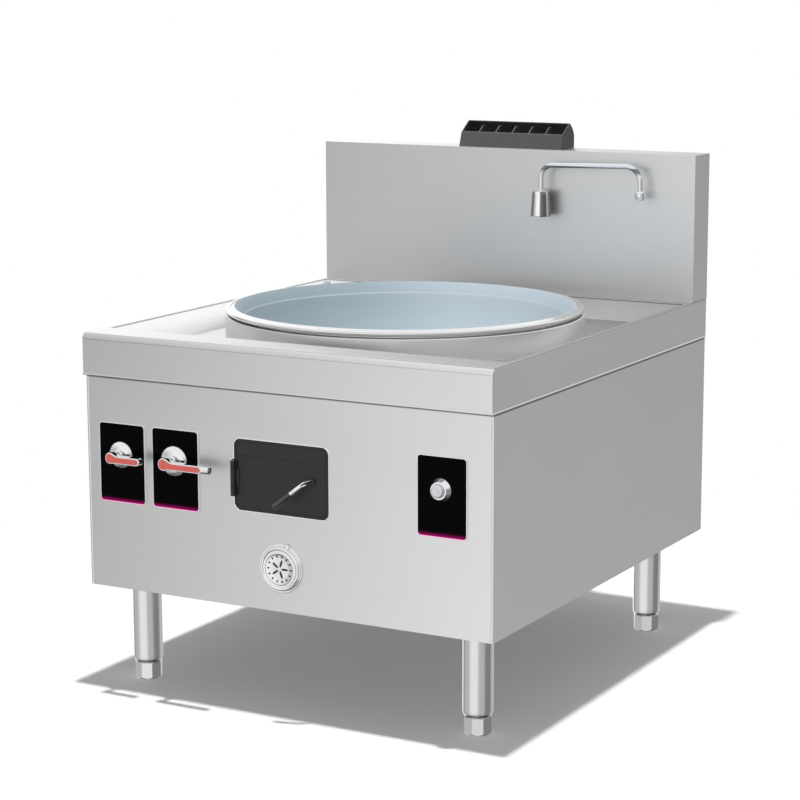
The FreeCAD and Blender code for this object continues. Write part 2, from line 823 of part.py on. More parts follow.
def burner_body():
    """Mixing chamber under the firebox with branches for air, gas and lighting."""
    top = shell_bottom
    inner = burner_radius - burner_wall
    roof = top - burner_wall
    section = [(0, burner_bottom), (burner_radius, burner_bottom), (burner_radius, roof),
               (burner_flange_radius, roof), (burner_flange_radius, top),
               (burner_throat_radius, top), (burner_throat_radius, roof),
               (inner, roof), (inner, burner_bottom + burner_wall),
               (0, burner_bottom + burner_wall)]
    body = turned(section, 0, pot_y)
    front = pot_y - burner_branch
    branches = [(port_radius + port_wall, port_radius, V(port_x, pot_y, port_height),
                 V(port_x, front, port_height)),
                (main_pipe_radius + 2, main_pipe_radius - main_pipe_wall,
                 V(0, pot_y, main_pipe_height), V(0, front, main_pipe_height)),
                (pilot_pipe_radius + 2, pilot_pipe_radius - pilot_pipe_wall,
                 V(pilot_pipe_x, pot_y, pilot_pipe_height),
                 V(pilot_pipe_x, front, pilot_pipe_height)),
                (duct_radius + duct_wall, duct_radius - duct_wall,
                 V(0, pot_y, duct_height), V(-burner_branch, pot_y, duct_height))]
    hollow = rod(inner, V(0, pot_y, burner_bottom + burner_wall), V(0, pot_y, roof))
    for outer, bore, start, end in branches:
        body = body.fuse(rod(outer, start, end).cut(hollow))
    for outer, bore, start, end in branches:
        body = body.cut(rod(bore, start, end + (end - start) * 0.1))
    return body


def burner_head():
    """Domed burner cap with a ring of flame slots and a ring of top holes."""
    inner = head_radius - head_wall
    dome = head_top - head_wall_top
    section = [(inner, shell_bottom), (head_radius, shell_bottom),
               (head_radius, head_wall_top), (head_radius - dome, head_top), (0, head_top),
               (0, head_top - head_wall), (head_radius - dome - 3, head_top - head_wall),
               (inner, head_wall_top - 3)]
    head = turned(section, 0, pot_y)
    slot = block(inner - 2, head_radius + 2, pot_y - head_slot_width / 2,
                 pot_y + head_slot_width / 2, head_wall_top - 4 - head_slot_height,
                 head_wall_top - 4)
    hole = rod(3, V(32, pot_y, head_top - 2 * head_wall), V(32, pot_y, head_top + 1))
    return head.cut(ring_of(slot, head_slots, 0, pot_y)).cut(ring_of(hole, 12, 0, pot_y))


def gas_rail():
    """Gas pipe from the inlet at the back, round the front corner, under both valves."""
    points = [V(rail_x, rail_rear_y, rail_height), V(rail_x, rail_y, rail_height),
              V(rail_end_x, rail_y, rail_height)]
    rail = bent_bar(points, rail_bend, rail_radius)
    bore = bent_bar(points, rail_bend, rail_radius - rail_wall)
    for x in (pilot_lever_x, gas_lever_x):
        rail = rail.fuse(rod(riser_radius, V(x, rail_y, rail_height), V(x, rail_y, riser_top)))
        bore = bore.fuse(rod(riser_radius - rail_wall, V(x, rail_y, rail_height),
                             V(x, rail_y, riser_top + 1)))
    end = V(rail_end_x, rail_y, rail_height)
    cap = rod(rail_radius + 2, end, end + V(6, 0, 0))
    mouth = V(rail_x, rail_rear_y, rail_height)
    thread = tube(rail_radius + 5, inlet_thread_radius, mouth - V(0, inlet_thread_length, 0),
                  mouth + V(0, 1, 0))
    return rail.cut(bore).cut(thread).fuse(cap)


def valve(x, outlet):
    """Brass valve with a hexagonal front, a foot on the gas pipe and a rear outlet."""
    section = [(spindle_radius + running_gap, valve_front_y), (valve_radius - 5, valve_front_y),
               (valve_radius - 5, valve_front_y + 10), (valve_radius, valve_front_y + 14),
               (valve_radius, valve_back_y - 14), (valve_radius - 6, valve_back_y - 8),
               (valve_radius - 6, valve_back_y), (0, valve_back_y),
               (0, valve_back_y - 20), (spindle_radius + running_gap, valve_back_y - 20)]
    body = turned_front(section, x, lever_height)
    foot_bar = rod(riser_radius, V(x, rail_y, riser_top), V(x, rail_y, lever_height - 12))
    body = body.fuse(foot_bar)
    body = body.cut(rod(outlet, V(x, valve_back_y - 12, lever_height),
                        V(x, valve_back_y + 1, lever_height)))
    return body


def main_gas_pipe():
    front = pot_y - burner_branch
    points = [V(gas_lever_x, valve_back_y, lever_height),
              V(gas_lever_x, main_pipe_drop_y, lever_height),
              V(gas_lever_x, main_pipe_drop_y, main_pipe_height),
              V(0, main_pipe_drop_y, main_pipe_height), V(0, front, main_pipe_height)]
    return bent_pipe(points, main_pipe_bend, main_pipe_radius, main_pipe_wall)


def pilot_gas_pipe():
    front = pot_y - burner_branch
    points = [V(pilot_lever_x, valve_back_y, lever_height),
              V(pilot_lever_x, pilot_pipe_drop_y, lever_height),
              V(pilot_lever_x, pilot_pipe_drop_y, pilot_pipe_height),
              V(pilot_pipe_x, pilot_pipe_drop_y, pilot_pipe_height),
              V(pilot_pipe_x, front, pilot_pipe_height)]
    return bent_pipe(points, pilot_pipe_bend, pilot_pipe_radius, pilot_pipe_wall)


def air_duct():
    points = [V(blower_x, blower_mouth_y, duct_height), V(blower_x, pot_y, duct_height),
              V(-burner_branch, pot_y, duct_height)]
    return bent_pipe(points, duct_bend, duct_radius, duct_wall)


def scroll_solid(inset):
    """Spiral of the blower casing with its outlet toward the burner."""
    x0 = blower_x - blower_width / 2 + inset
    points = []
    steps = 12
    for i in range(steps + 1):
        turn = 2 * math.pi * i / steps
        radius = scroll_start_radius + scroll_growth * i / steps - inset
        angle = -math.pi / 2 + turn
        points.append(V(x0, blower_y - radius * math.cos(angle),
                        blower_height + radius * math.sin(angle)))
    curve = Part.BSplineCurve()
    curve.interpolate(points)
    closing = Part.LineSegment(points[-1], points[0]).toShape()
    face = Part.Face(Part.Wire([curve.toShape(), closing]))
    solid = face.extrude(V(blower_width - 2 * inset, 0, 0))
    half = duct_radius - inset
    mouth = block(x0, x0 + blower_width - 2 * inset, blower_mouth_y - inset, blower_y,
                  duct_height - half, duct_height + half)
    return solid.fuse(mouth)


def blower_housing():
    """Scroll casing with a round side inlet, a mouth plate and a folded foot."""
    x0 = blower_x - blower_width / 2
    x1 = blower_x + blower_width / 2
    hollow = scroll_solid(duct_wall)
    casing = scroll_solid(0.0)
    lip = 6
    for side in (x0, x1 - duct_wall):
        foot_plate = block(side, side + duct_wall, blower_y - 60, blower_y + 60,
                           plate_top, blower_height)
        casing = casing.fuse(foot_plate)
    casing = casing.fuse(block(x0, x1, blower_y - 60, blower_y + 60, plate_top,
                               plate_top + duct_wall))
    plate = block(x0 - lip, x1 + lip, blower_mouth_y, blower_mouth_y + duct_wall,
                  duct_height - duct_radius - lip, duct_height + duct_radius + lip)
    casing = casing.fuse(plate).cut(hollow)
    casing = casing.cut(rod(duct_radius - duct_wall, V(blower_x, blower_mouth_y - 1, duct_height),
                            V(blower_x, blower_mouth_y + 5, duct_height)))
    casing = casing.cut(rod(blower_inlet_radius, V(x1 - 5, blower_y, blower_height),
                            V(x1 + 5, blower_y, blower_height)))
    return casing.cut(rod(shaft_radius + 3, V(x0 - 1, blower_y, blower_height),
                          V(x0 + 5, blower_y, blower_height)))


def impeller():
    """Blower wheel: back disc, hub and shaft, a ring of blades and a front ring."""
    x0 = blower_x - blower_width / 2 + duct_wall + impeller_end_gap
    x1 = blower_x + blower_width / 2 - duct_wall - impeller_end_gap

    def at(x):
        return V(x, blower_y, blower_height)

    wheel = rod(impeller_radius, at(x0), at(x0 + 2))
    wheel = wheel.fuse(rod(2 * shaft_radius, at(x0), at(x0 + 26)))
    wheel = wheel.fuse(rod(shaft_radius, at(x0 - 30), at(x0 + 26)))
    wheel = wheel.fuse(tube(impeller_radius, impeller_eye_radius, at(x1 - 2), at(x1)))
    for i in range(impeller_blades):
        blade = block(x0 + 1, x1 - 1, blower_y + impeller_eye_radius + 1,
                      blower_y + impeller_radius - 1, blower_height - 0.8,
                      blower_height + 0.8)
        blade.rotate(V(0, blower_y + impeller_radius - 2, blower_height), V(1, 0, 0), 18)
        blade.rotate(at(0), V(1, 0, 0), 360.0 * i / impeller_blades)
        wheel = wheel.fuse(blade)
    return wheel


def motor():
    """Closed motor with cooling ribs and a bearing bore for the wheel's shaft."""
    x1 = blower_x - blower_width / 2
    x0 = x1 - motor_length

    def at(x):
        return V(x, blower_y, blower_height)

    body = rod(motor_radius - 4, at(x0), at(x1))
    pitch = (motor_length - 24) / motor_ribs
    for i in range(motor_ribs):
        start = x0 + 10 + pitch * i
        body = body.fuse(rod(motor_radius, at(start), at(start + pitch / 2)))
    body = body.fuse(rod(motor_radius, at(x1 - 6), at(x1)))
    return body.cut(rod(shaft_radius + running_gap, at(x1 - 34), at(x1 + 1)))


def lever_plate(x):
    """Black glass plate on the front panel behind one lever."""
    plate = rounded_plate(x - plate_half_width, x + plate_half_width,
                          lever_height - plate_below, lever_height + plate_above,
                          front_inset - plate_depth, front_inset, plate_corner)
    return plate.cut(rod(spindle_hole_radius, V(x, 0, lever_height),
                         V(x, fold_width, lever_height)))


def start_plate():
    """Black glass plate on the front panel around the start button."""
    plate = rounded_plate(button_x - start_plate_left, button_x + start_plate_right,
                          button_height - start_plate_below, button_height + start_plate_above,
                          front_inset - plate_depth, front_inset, plate_corner)
    return plate.cut(rod(button_radius + 2, V(button_x, 0, button_height),
                         V(button_x, fold_width, button_height)))


def rose(x, radius):
    """Domed round cover behind a lever."""
    back = front_inset - plate_depth
    front = back - rose_depth
    section = [(spindle_hole_radius, back), (radius, back), (radius, back - 2),
               (radius - 4, back - 6), (radius - 10, front + 1.5), (radius - 14, front),
               (spindle_hole_radius, front)]
    return turned_front(section, x, lever_height)


def lever_side(boss, half, blend, lower):
    """Upper or lower side of a lever: the touch points of its blend with boss and arm."""
    sign = -1 if lower else 1
    edge = half + lever_arm_drop if lower else half - lever_arm_drop
    run = math.sqrt((boss + blend) ** 2 - (edge + blend) ** 2)
    centre = V(run, 0, sign * (edge + blend))
    on_boss = centre * (boss / (boss + blend))
    on_arm = V(run, 0, sign * edge)
    way = ((on_boss - centre) + (on_arm - centre)).normalize()
    return on_boss, centre + way * blend, on_arm


def lever_form(x, reach, boss, inset, y0, y1):
    """Round boss that sweeps into a lower arm with a round end, cut from flat bar."""
    half = lever_bar_height / 2 - inset
    end = reach - lever_bar_height / 2
    boss = boss - inset
    upper = lever_side(boss, half, lever_blend + inset, False)
    lower = lever_side(boss, half, lever_blend + inset, True)
    top = V(end, 0, half - lever_arm_drop)
    bottom = V(end, 0, -half - lever_arm_drop)
    edges = [Part.Arc(upper[0], upper[1], upper[2]).toShape(),
             Part.LineSegment(upper[2], top).toShape(),
             Part.Arc(top, V(end + half, 0, -lever_arm_drop), bottom).toShape(),
             Part.LineSegment(bottom, lower[2]).toShape(),
             Part.Arc(lower[2], lower[1], lower[0]).toShape(),
             Part.Arc(lower[0], V(-boss, 0, 0), upper[0]).toShape()]
    face = Part.Face(Part.Wire(edges))
    face.translate(V(x, y0, lever_height))
    return face.extrude(V(0, y1 - y0, 0))


def lever_inlay(x, reach, boss):
    return lever_form(x, reach, boss, inlay_margin, lever_front_y,
                      lever_front_y + inlay_depth)


def lever_body(x, reach, boss):
    """Lever with softened edges, a pocket for its inlay and the spindle behind it."""
    bar = lever_form(x, reach, boss, 0.0, lever_front_y, lever_back_y)
    rims = edges_where(bar, lambda c: c.y < lever_front_y + 0.1 or c.y > lever_back_y - 0.1)
    bar = bar.makeFillet(lever_edge_round, rims)
    bar = bar.cut(lever_inlay(x, reach, boss))
    return bar.fuse(rod(spindle_radius, V(x, lever_back_y - 1, lever_height),
                        V(x, valve_back_y - 21, lever_height)))


def pilot_lever():
    return lever_body(pilot_lever_x, pilot_lever_reach, pilot_lever_boss)


def gas_lever():
    """Longer lever that ends in a hollow round tip."""
    lever = lever_body(gas_lever_x, gas_arm_reach, gas_lever_boss)
    middle = (lever_front_y + lever_back_y) / 2
    tip = V(gas_lever_x + gas_lever_reach, middle, lever_height - lever_arm_drop)
    socket = rod(lever_bar_height / 2, tip - V(gas_tip_length + gas_tip_overlap, 0, 0), tip)
    lever = lever.fuse(socket.cut(lever_inlay(gas_lever_x, gas_arm_reach, gas_lever_boss)))
    return lever.cut(rod(gas_tip_bore, tip - V(gas_tip_length, 0, 0), tip + V(1, 0, 0)))


def start_bezel():
    """Conical ring around the start button."""
    back = front_inset - plate_depth
    bore = button_radius + running_gap
    section = [(bore, back), (bezel_radius, back), (bezel_radius, back - 1.5),
               (button_radius + 4, back - bezel_depth), (bore, back - bezel_depth)]
    return turned_front(section, button_x, button_height)


def start_button():
    """Push button with a rounded face and a stem into the switch."""
    face = front_inset - plate_depth - button_proud
    back = front_inset - plate_depth - button_stroke
    section = [(0, face), (button_radius - 4, face), (button_radius - 1.2, face + 1.2),
               (button_radius, face + 4), (button_radius, back),
               (button_stem_radius, back), (button_stem_radius, switch_back_y - 12),
               (0, switch_back_y - 12)]
    return turned_front(section, button_x, button_height)


def switch_body():
    """Closed switch behind the panel with a bore for the button's stem."""
    half = switch_size / 2
    body = rounded_plate(button_x - half, button_x + half, button_height - half,
                         button_height + half, panel_back, switch_back_y, 4)
    body = body.cut(rod(button_radius + 3, V(button_x, 0, button_height),
                        V(button_x, panel_back + 6, button_height)))
    return body.cut(rod(button_stem_radius + running_gap,
                        V(button_x, panel_back, button_height),
                        V(button_x, switch_back_y - 4, button_height)))


def knuckle(low, high):
    barrel = rod(hinge_radius, V(hinge_x, hinge_y, low), V(hinge_x, hinge_y, high))
    return barrel.cut(rod(hinge_pin_radius + running_gap, V(hinge_x, hinge_y, low - 1),
                          V(hinge_x, hinge_y, high + 1)))


def hinge_bore(low, high):
    return rod(hinge_pin_radius, V(hinge_x, hinge_y, low - 1), V(hinge_x, hinge_y, high + 1))


def hatch_frame():
    """Frame behind the front panel with two hinge knuckles and a throat to the fire."""
    front = front_inset + leaf_thickness
    back = front + hatch_frame_thickness
    outer = (leaf_left - frame_border, leaf_right + frame_border,
             leaf_bottom - frame_border, leaf_top + frame_border)
    window = (window_left, window_right, window_bottom, window_top)
    frame = ring_plate(front, back, outer, window, window_corner)
    rim = rounded_plate(outer[0], outer[1], outer[2], outer[3], panel_back, front,
                        window_corner)
    rim = rim.cut(hatch_opening(2 * leaf_gap, panel_back - 1, front + 1))
    rim = rim.cut(hinge_notch(panel_back - 1, front + 1))
    frame = frame.fuse(rim)
    throat = throat_space(throat_sheet, back, pot_y).cut(throat_space(0.0, front, pot_y))
    throat = throat.cut(block(latch_x, window_right + 2 * throat_sheet, back,
                              tongue_y() + tongue_thickness + tongue_gap,
                              latch_height - tongue_length, latch_height + tongue_width))
    drum = rod(shell_radius, V(0, pot_y, shell_bottom), V(0, pot_y, floor_underside))
    frame = frame.fuse(throat.cut(drum))
    half = hinge_door_length / 2 + hinge_gap
    for low, high in ((hinge_middle + half, hinge_middle + half + hinge_fixed_length),
                      (hinge_middle - half - hinge_fixed_length, hinge_middle - half)):
        strap = block(hinge_x - hinge_radius + 0.5, hinge_x - hinge_radius + hinge_strap,
                      hinge_y, back, low, high)
        strap = strap.cut(hinge_bore(low, high))
        frame = frame.fuse(knuckle(low, high).fuse(strap))
    return frame.cut(rod(hinge_pin_radius, V(hinge_x, hinge_y, hinge_middle - 100),
                         V(hinge_x, hinge_y, hinge_middle + 100)))


def hatch_door():
    """Black door leaf with a pressed panel and the middle hinge knuckle."""
    back = front_inset + leaf_thickness
    leaf = hatch_opening(0.0, front_inset, back)
    press = rounded_plate(leaf_left + 14, latch_x, leaf_bottom + 34, leaf_top - 35,
                          front_inset - 1, front_inset + 0.8, 4)
    leaf = leaf.cut(press)
    low = hinge_middle - hinge_door_length / 2
    high = hinge_middle + hinge_door_length / 2
    strap = block(hinge_x, leaf_left + 12, front_inset - 3, front_inset, low, high)
    leaf = leaf.fuse(strap.fuse(rod(hinge_radius, V(hinge_x, hinge_y, low),
                                    V(hinge_x, hinge_y, high))))
    leaf = leaf.cut(rod(hinge_pin_radius + running_gap, V(hinge_x, hinge_y, low - 1),
                        V(hinge_x, hinge_y, high + 1)))
    return leaf.cut(rod(latch_shaft_radius + running_gap, V(latch_x, 0, latch_height),
                        V(latch_x, fold_width, latch_height)))


def hinge_pin():
    half = hinge_door_length / 2 + hinge_gap + hinge_fixed_length
    low = V(hinge_x, hinge_y, hinge_middle - half)
    return rod(hinge_pin_radius, low, V(hinge_x, hinge_y, hinge_middle + half))


def tongue_y():
    return front_inset + leaf_thickness + hatch_frame_thickness + tongue_gap


def latch_line(share):
    """Point on the line from the bend of the fork to the tip of the grip."""
    bend = V(latch_x - fork_lean, latch_front_y, latch_height)
    return bend + V(-grip_run, -grip_stand, -grip_drop) * share


def latch_handle():
    """Latch shaft with a flange and a bent wire fork that runs into a ferrule."""
    flange_back = front_inset - latch_flange_gap
    flange_front = flange_back - latch_flange_thickness
    handle = rod(latch_shaft_radius, V(latch_x, flange_front, latch_height),
                 V(latch_x, tongue_y() + tongue_thickness, latch_height))
    handle = handle.fuse(rod(latch_flange_radius, V(latch_x, flange_front, latch_height),
                             V(latch_x, flange_back, latch_height)))
    run = latch_line(1.0) - latch_line(0.0)
    across = V(-run.z, 0, run.x).normalize()
    for side in (-1, 1):
        foot = V(latch_x, flange_front + 1, latch_height - side * fork_half_gap)
        bend = latch_line(0.0) + across * (side * fork_end_half_gap)
        handle = handle.fuse(rod(fork_wire_radius, foot, bend))
        handle = handle.fuse(rod(fork_wire_radius, bend - run * 0.02,
                                 latch_line(grip_share / 2)))
    return handle.fuse(rod(ferrule_radius, latch_line(0.06), latch_line(grip_share)))


def latch_grip():
    """Round black grip with a rounded tip."""
    bar = rod(grip_radius, latch_line(grip_share), latch_line(0.94))
    return bar.fuse(Part.makeSphere(grip_radius, latch_line(0.94)))


def latch_tongue():
    """Flat tongue on the latch shaft behind the frame."""
    front = tongue_y()
    half = tongue_width / 2
    bar = block(latch_x, latch_x + tongue_length - half, front, front + tongue_thickness,
                latch_height - half, latch_height + half)
    for x in (latch_x, latch_x + tongue_length - half):
        bar = bar.fuse(rod(half, V(x, front, latch_height),
                           V(x, front + tongue_thickness, latch_height)))
    bar.rotate(V(latch_x, 0, latch_height), V(0, -1, 0), tongue_angle)
    return bar.cut(rod(latch_shaft_radius, V(latch_x, front - 1, latch_height),
                       V(latch_x, front + 5, latch_height)))


def port_cover():
    """Round swinging cover: flat rim, raised dish and turned beads."""
    rim = front_inset - cover_rim
    front = rim - cover_dish_depth
    edge = cover_dish_radius
    section = [(edge - 6, front_inset), (cover_radius, front_inset),
               (cover_radius, rim + 0.5), (cover_radius - 0.5, rim), (edge, rim),
               (edge - 1, front + 2), (edge - 4, front), (edge - 8, front),
               (edge - 10, front + 2.5), (0, front + 2.5),
               (0, front + 2.5 + cover_sheet), (edge - 10, front + 2.5 + cover_sheet),
               (edge - 7, front + cover_sheet), (edge - 6, front + 3)]
    cover = turned_front(section, port_x, port_height)
    pitch = (edge - 12) / cover_beads
    for i in range(cover_beads):
        bead = Part.makeTorus(pitch * (i + 0.7), 1.2, V(port_x, front + 2.7, port_height),
                              V(0, 1, 0))
        cover = cover.fuse(bead)
    hole = rod(rivet_radius + running_gap, V(rivet_x, front - 5, rivet_height),
               V(rivet_x, front_inset + 1, rivet_height))
    return cover.cut(hole)


def port_rivet():
    """Round-headed rivet on which the cover swings."""
    head = front_inset - cover_rim
    section = [(0, head - 5), (4, head - 4), (6.5, head - 1.5), (6.5, head),
               (rivet_radius, head), (rivet_radius, front_inset), (0, front_inset)]
    return turned_front(section, rivet_x, rivet_height)


def port_tube():
    """Tube from the front panel to the burner for the lighting flame."""
    outer = port_radius + port_wall
    body = tube(outer, port_radius, V(port_x, panel_back, port_height),
                V(port_x, pot_y - burner_branch, port_height))
    flange = tube(port_flange_radius, port_radius, V(port_x, panel_back, port_height),
                  V(port_x, panel_back + port_wall, port_height))
    return body.fuse(flange)


def tap_body():
    """Cone-shaped tap body hung in front of the backsplash, with its wall tail."""
    section = [(0, tap_bottom), (tap_bottom_radius - 3, tap_bottom),
               (tap_bottom_radius, tap_bottom + 3), (tap_top_radius + 1, tap_top - 10),
               (tap_top_radius, tap_top - 2), (tap_top_radius - 2, tap_top), (0, tap_top)]
    body = turned(section, tap_x, tap_y)
    tail = rod(tap_tail_radius, V(tap_x, tap_y, tap_tail_height),
               V(tap_x, tap_tail_end, tap_tail_height))
    collar = rod(tap_tail_radius + 4, V(tap_x, splash_front - 4, tap_tail_height),
                 V(tap_x, splash_front, tap_tail_height))
    nut = rod(tap_tail_radius + 6, V(tap_x, splash_front + splash_sheet, tap_tail_height),
              V(tap_x, splash_front + splash_sheet + 8, tap_tail_height))
    body = body.fuse(tail).fuse(collar).fuse(nut)
    bore = tap_pipe_radius + running_gap
    body = body.cut(rod(bore, V(tap_x, tap_y, tap_top - tap_stem_depth),
                        V(tap_x, tap_y, tap_top + 1)))
    return body.cut(rod(tap_pipe_radius, V(tap_x, tap_y + 5, tap_tail_height),
                        V(tap_x, tap_tail_end + 1, tap_tail_height)))


def tap_spout():
    """Bent pipe that turns in the top of the tap body."""
    points = [V(tap_x, tap_y, tap_top - tap_stem_depth), V(tap_x, tap_y, tap_arm_left),
              V(tap_nozzle_x, tap_y, tap_arm_right), V(tap_nozzle_x, tap_y, tap_nozzle_top)]
    outer = Part.Wire([Part.makeCircle(tap_pipe_radius, points[0], V(0, 0, 1))])
    inner = Part.Wire([Part.makeCircle(tap_pipe_radius - tap_pipe_wall, points[0],
                                       V(0, 0, 1))])
    path = route_two(points, tap_left_bend, tap_right_bend)
    return path.makePipeShell([outer], True, False).cut(
        path.makePipeShell([inner], True, False))


def route_two(points, first, second):
    """Wire with a different bend at each of its two corners."""
    middle = (points[1] + points[2]) * 0.5
    left = route([points[0], points[1], middle], first)
    right = route([middle, points[2], points[3]], second)
    return Part.Wire(left.Edges + right.Edges)


def tap_nozzle():
    """Round nozzle on the end of the spout."""
    shoulder = tap_nozzle_top - 4
    section = [(tap_pipe_radius - tap_pipe_wall, tap_nozzle_top),
               (tap_pipe_radius + 2, tap_nozzle_top), (tap_nozzle_radius, shoulder),
               (tap_nozzle_radius, tap_nozzle_bottom + 1),
               (tap_nozzle_radius - 1, tap_nozzle_bottom),
               (tap_nozzle_radius - 3, tap_nozzle_bottom),
               (tap_nozzle_radius - 3, shoulder - 6),
               (tap_pipe_radius - tap_pipe_wall, shoulder - 6)]
    return turned(section, tap_nozzle_x, tap_y)


def cable_gland():
    """Round cable gland through the back panel."""
    section = [(4, rear_inner - 8), (gland_thread_radius, rear_inner - 8),
               (gland_thread_radius, rear_face), (gland_nut_radius, rear_face),
               (gland_nut_radius, rear_face + 5), (gland_nut_radius - 3, rear_face + 8),
               (4, rear_face + 8)]
    return turned_front(section, gland_x, gland_height)


def legs():
    made = {}
    for side, x in (("left", -leg_x), ("right", leg_x)):
        for end, y in (("front", leg_front_y), ("back", leg_back_y)):
            made["leg_" + end + "_" + side] = leg_tube(x, y)
            made["foot_" + end + "_" + side] = foot(x, y)
    return made


def pieces():
    made = {
        "worktop": worktop(),
        "pot_ring": pot_ring(),
        "wok": wok(),
        "backsplash": backsplash(),
        "backsplash_cover": backsplash_cover(),
        "flue_hood": flue_hood(),
        "flue_duct": flue_duct(),
        "front_panel": front_panel(),
        "side_panel_left": side_panel(-1),
        "side_panel_right": side_panel(1),
        "back_panel": back_panel(),
        "bottom_plate": bottom_plate(),
        "side_frame_left": side_frame(-1),
        "side_frame_right": side_frame(1),
        "firebox_shell": firebox_shell(),
        "firebox_lining": firebox_lining(),
        "burner_body": burner_body(),
        "burner_head": burner_head(),
        "gas_rail": gas_rail(),
        "pilot_valve": valve(pilot_lever_x, pilot_pipe_radius - pilot_pipe_wall),
        "main_valve": valve(gas_lever_x, main_pipe_radius - main_pipe_wall),
        "main_gas_pipe": main_gas_pipe(),
        "pilot_gas_pipe": pilot_gas_pipe(),
        "air_duct": air_duct(),
        "blower_housing": blower_housing(),
        "impeller": impeller(),
        "motor": motor(),
        "plate_pilot": lever_plate(pilot_lever_x),
        "plate_gas": lever_plate(gas_lever_x),
        "plate_start": start_plate(),
        "rose_pilot": rose(pilot_lever_x, pilot_rose_radius),
        "rose_gas": rose(gas_lever_x, gas_rose_radius),
        "lever_pilot": pilot_lever(),
        "lever_gas": gas_lever(),
        "inlay_pilot": lever_inlay(pilot_lever_x, pilot_lever_reach, pilot_lever_boss),
        "inlay_gas": lever_inlay(gas_lever_x, gas_arm_reach, gas_lever_boss),
        "start_bezel": start_bezel(),
        "start_button": start_button(),
        "switch_body": switch_body(),
        "hatch_frame": hatch_frame(),
        "hatch_door": hatch_door(),
        "hinge_pin": hinge_pin(),
        "latch_handle": latch_handle(),
        "latch_grip": latch_grip(),
        "latch_tongue": latch_tongue(),
        "port_cover": port_cover(),
        "port_rivet": port_rivet(),
        "port_tube": port_tube(),
        "tap_body": tap_body(),
        "tap_spout": tap_spout(),
        "tap_nozzle": tap_nozzle(),
        "cable_gland": cable_gland(),
    }
    made.update(legs())
    return made


def save():
    """Centre everything over the floor point below the middle and write it."""
    os.makedirs("parts", exist_ok=True)
    made = pieces()
    front = min(shape.BoundBox.YMin for shape in made.values())
    back = max(shape.BoundBox.YMax for shape in made.values())
    for name, shape in made.items():
        shape.translate(V(0, -(front + back) / 2, 0))
        shape.exportStep("parts/" + name + ".step")


save()
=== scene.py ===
import json
import math

import bmesh
import bpy
from mathutils import Matrix, Vector


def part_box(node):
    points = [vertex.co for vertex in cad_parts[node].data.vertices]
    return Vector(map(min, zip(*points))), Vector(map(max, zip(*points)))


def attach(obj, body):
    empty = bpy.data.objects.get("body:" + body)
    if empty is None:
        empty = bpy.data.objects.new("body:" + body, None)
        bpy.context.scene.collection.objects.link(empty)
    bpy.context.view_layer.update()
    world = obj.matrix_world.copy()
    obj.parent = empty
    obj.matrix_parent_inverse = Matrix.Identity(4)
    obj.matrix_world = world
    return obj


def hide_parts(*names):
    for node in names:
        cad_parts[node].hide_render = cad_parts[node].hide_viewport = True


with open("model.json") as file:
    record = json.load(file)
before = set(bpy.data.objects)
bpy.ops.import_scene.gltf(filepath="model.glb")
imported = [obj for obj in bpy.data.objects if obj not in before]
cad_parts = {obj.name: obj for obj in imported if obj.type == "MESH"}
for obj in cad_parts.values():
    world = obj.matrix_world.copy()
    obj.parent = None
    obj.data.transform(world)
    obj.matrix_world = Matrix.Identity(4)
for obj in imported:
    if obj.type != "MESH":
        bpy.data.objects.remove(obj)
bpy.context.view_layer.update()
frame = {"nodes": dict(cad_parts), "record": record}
nodes = frame["nodes"]

# ---- Camera ---------------------------------------------------------------
# It stands where the photograph was taken from: to the right of the range and
# a little above its worktop, with a long lens. The picture is 800 by 800.
camera_place = Vector((2.55433, -4.64042, 1.5783))
camera_yaw = 0.5056
camera_pitch = 0.1834
camera_roll = -0.0023
ahead = Vector((-math.sin(camera_yaw) * math.cos(camera_pitch),
                math.cos(camera_yaw) * math.cos(camera_pitch), -math.sin(camera_pitch)))
level = Vector((math.cos(camera_yaw), math.sin(camera_yaw), 0.0))
upward = level.cross(ahead)
right = math.cos(camera_roll) * level + math.sin(camera_roll) * upward
up = -math.sin(camera_roll) * level + math.cos(camera_roll) * upward
camera = bpy.data.objects.new("camera", bpy.data.cameras.new("camera"))
camera.data.lens = 105.97
camera.data.sensor_width = 36.0
camera.data.clip_end = 60.0
turn = Matrix((right, up, -ahead)).transposed().to_4x4()
camera.matrix_world = Matrix.Translation(camera_place) @ turn
bpy.context.scene.collection.objects.link(camera)
bpy.context.scene.camera = camera
bpy.context.scene.view_settings.view_transform = "Standard"


# ---- Floor and light ------------------------------------------------------
# The range stands on a light studio floor that fades to plain white. One high
# lamp throws the shadow under the cabinet, and the steel mirrors a bright room
# with a few dark boards.
class Wire:
    """A socket in a node tree. Arithmetic on it adds Math nodes."""

    def __init__(self, tree, socket=None):
        self.tree = tree
        self.socket = socket

    def make(self, kind, settings=(), inputs=(), out=0):
        node = self.tree.nodes.new(kind)
        for name, value in dict(settings).items():
            if name == "stops":
                ramp = node.color_ramp.elements
                while len(ramp) < len(value):
                    ramp.new(0.5)
                for stop, (place, colour) in zip(ramp, value):
                    stop.position = place
                    stop.color = (*colour, 1.0)
            else:
                setattr(node, name, value)
        for name, value in dict(inputs).items():
            if isinstance(value, Wire):
                self.tree.links.new(value.socket, node.inputs[name])
            else:
                node.inputs[name].default_value = value
        made = Wire(self.tree, node.outputs[out] if node.outputs else None)
        made.node = node
        return made

    def math(self, operation, *values):
        return self.make("ShaderNodeMath", {"operation": operation}, enumerate(values))

    def other(self, name):
        """Another output of the same node."""
        return Wire(self.tree, self.node.outputs[name])

    def __add__(self, other):
        return self.math("ADD", self, other)

    def __sub__(self, other):
        return self.math("SUBTRACT", self, other)

    def __rsub__(self, other):
        return self.math("SUBTRACT", other, self)

    def __mul__(self, other):
        return self.math("MULTIPLY", self, other)

    def __truediv__(self, other):
        return self.math("DIVIDE", self, other)

    __radd__ = __add__


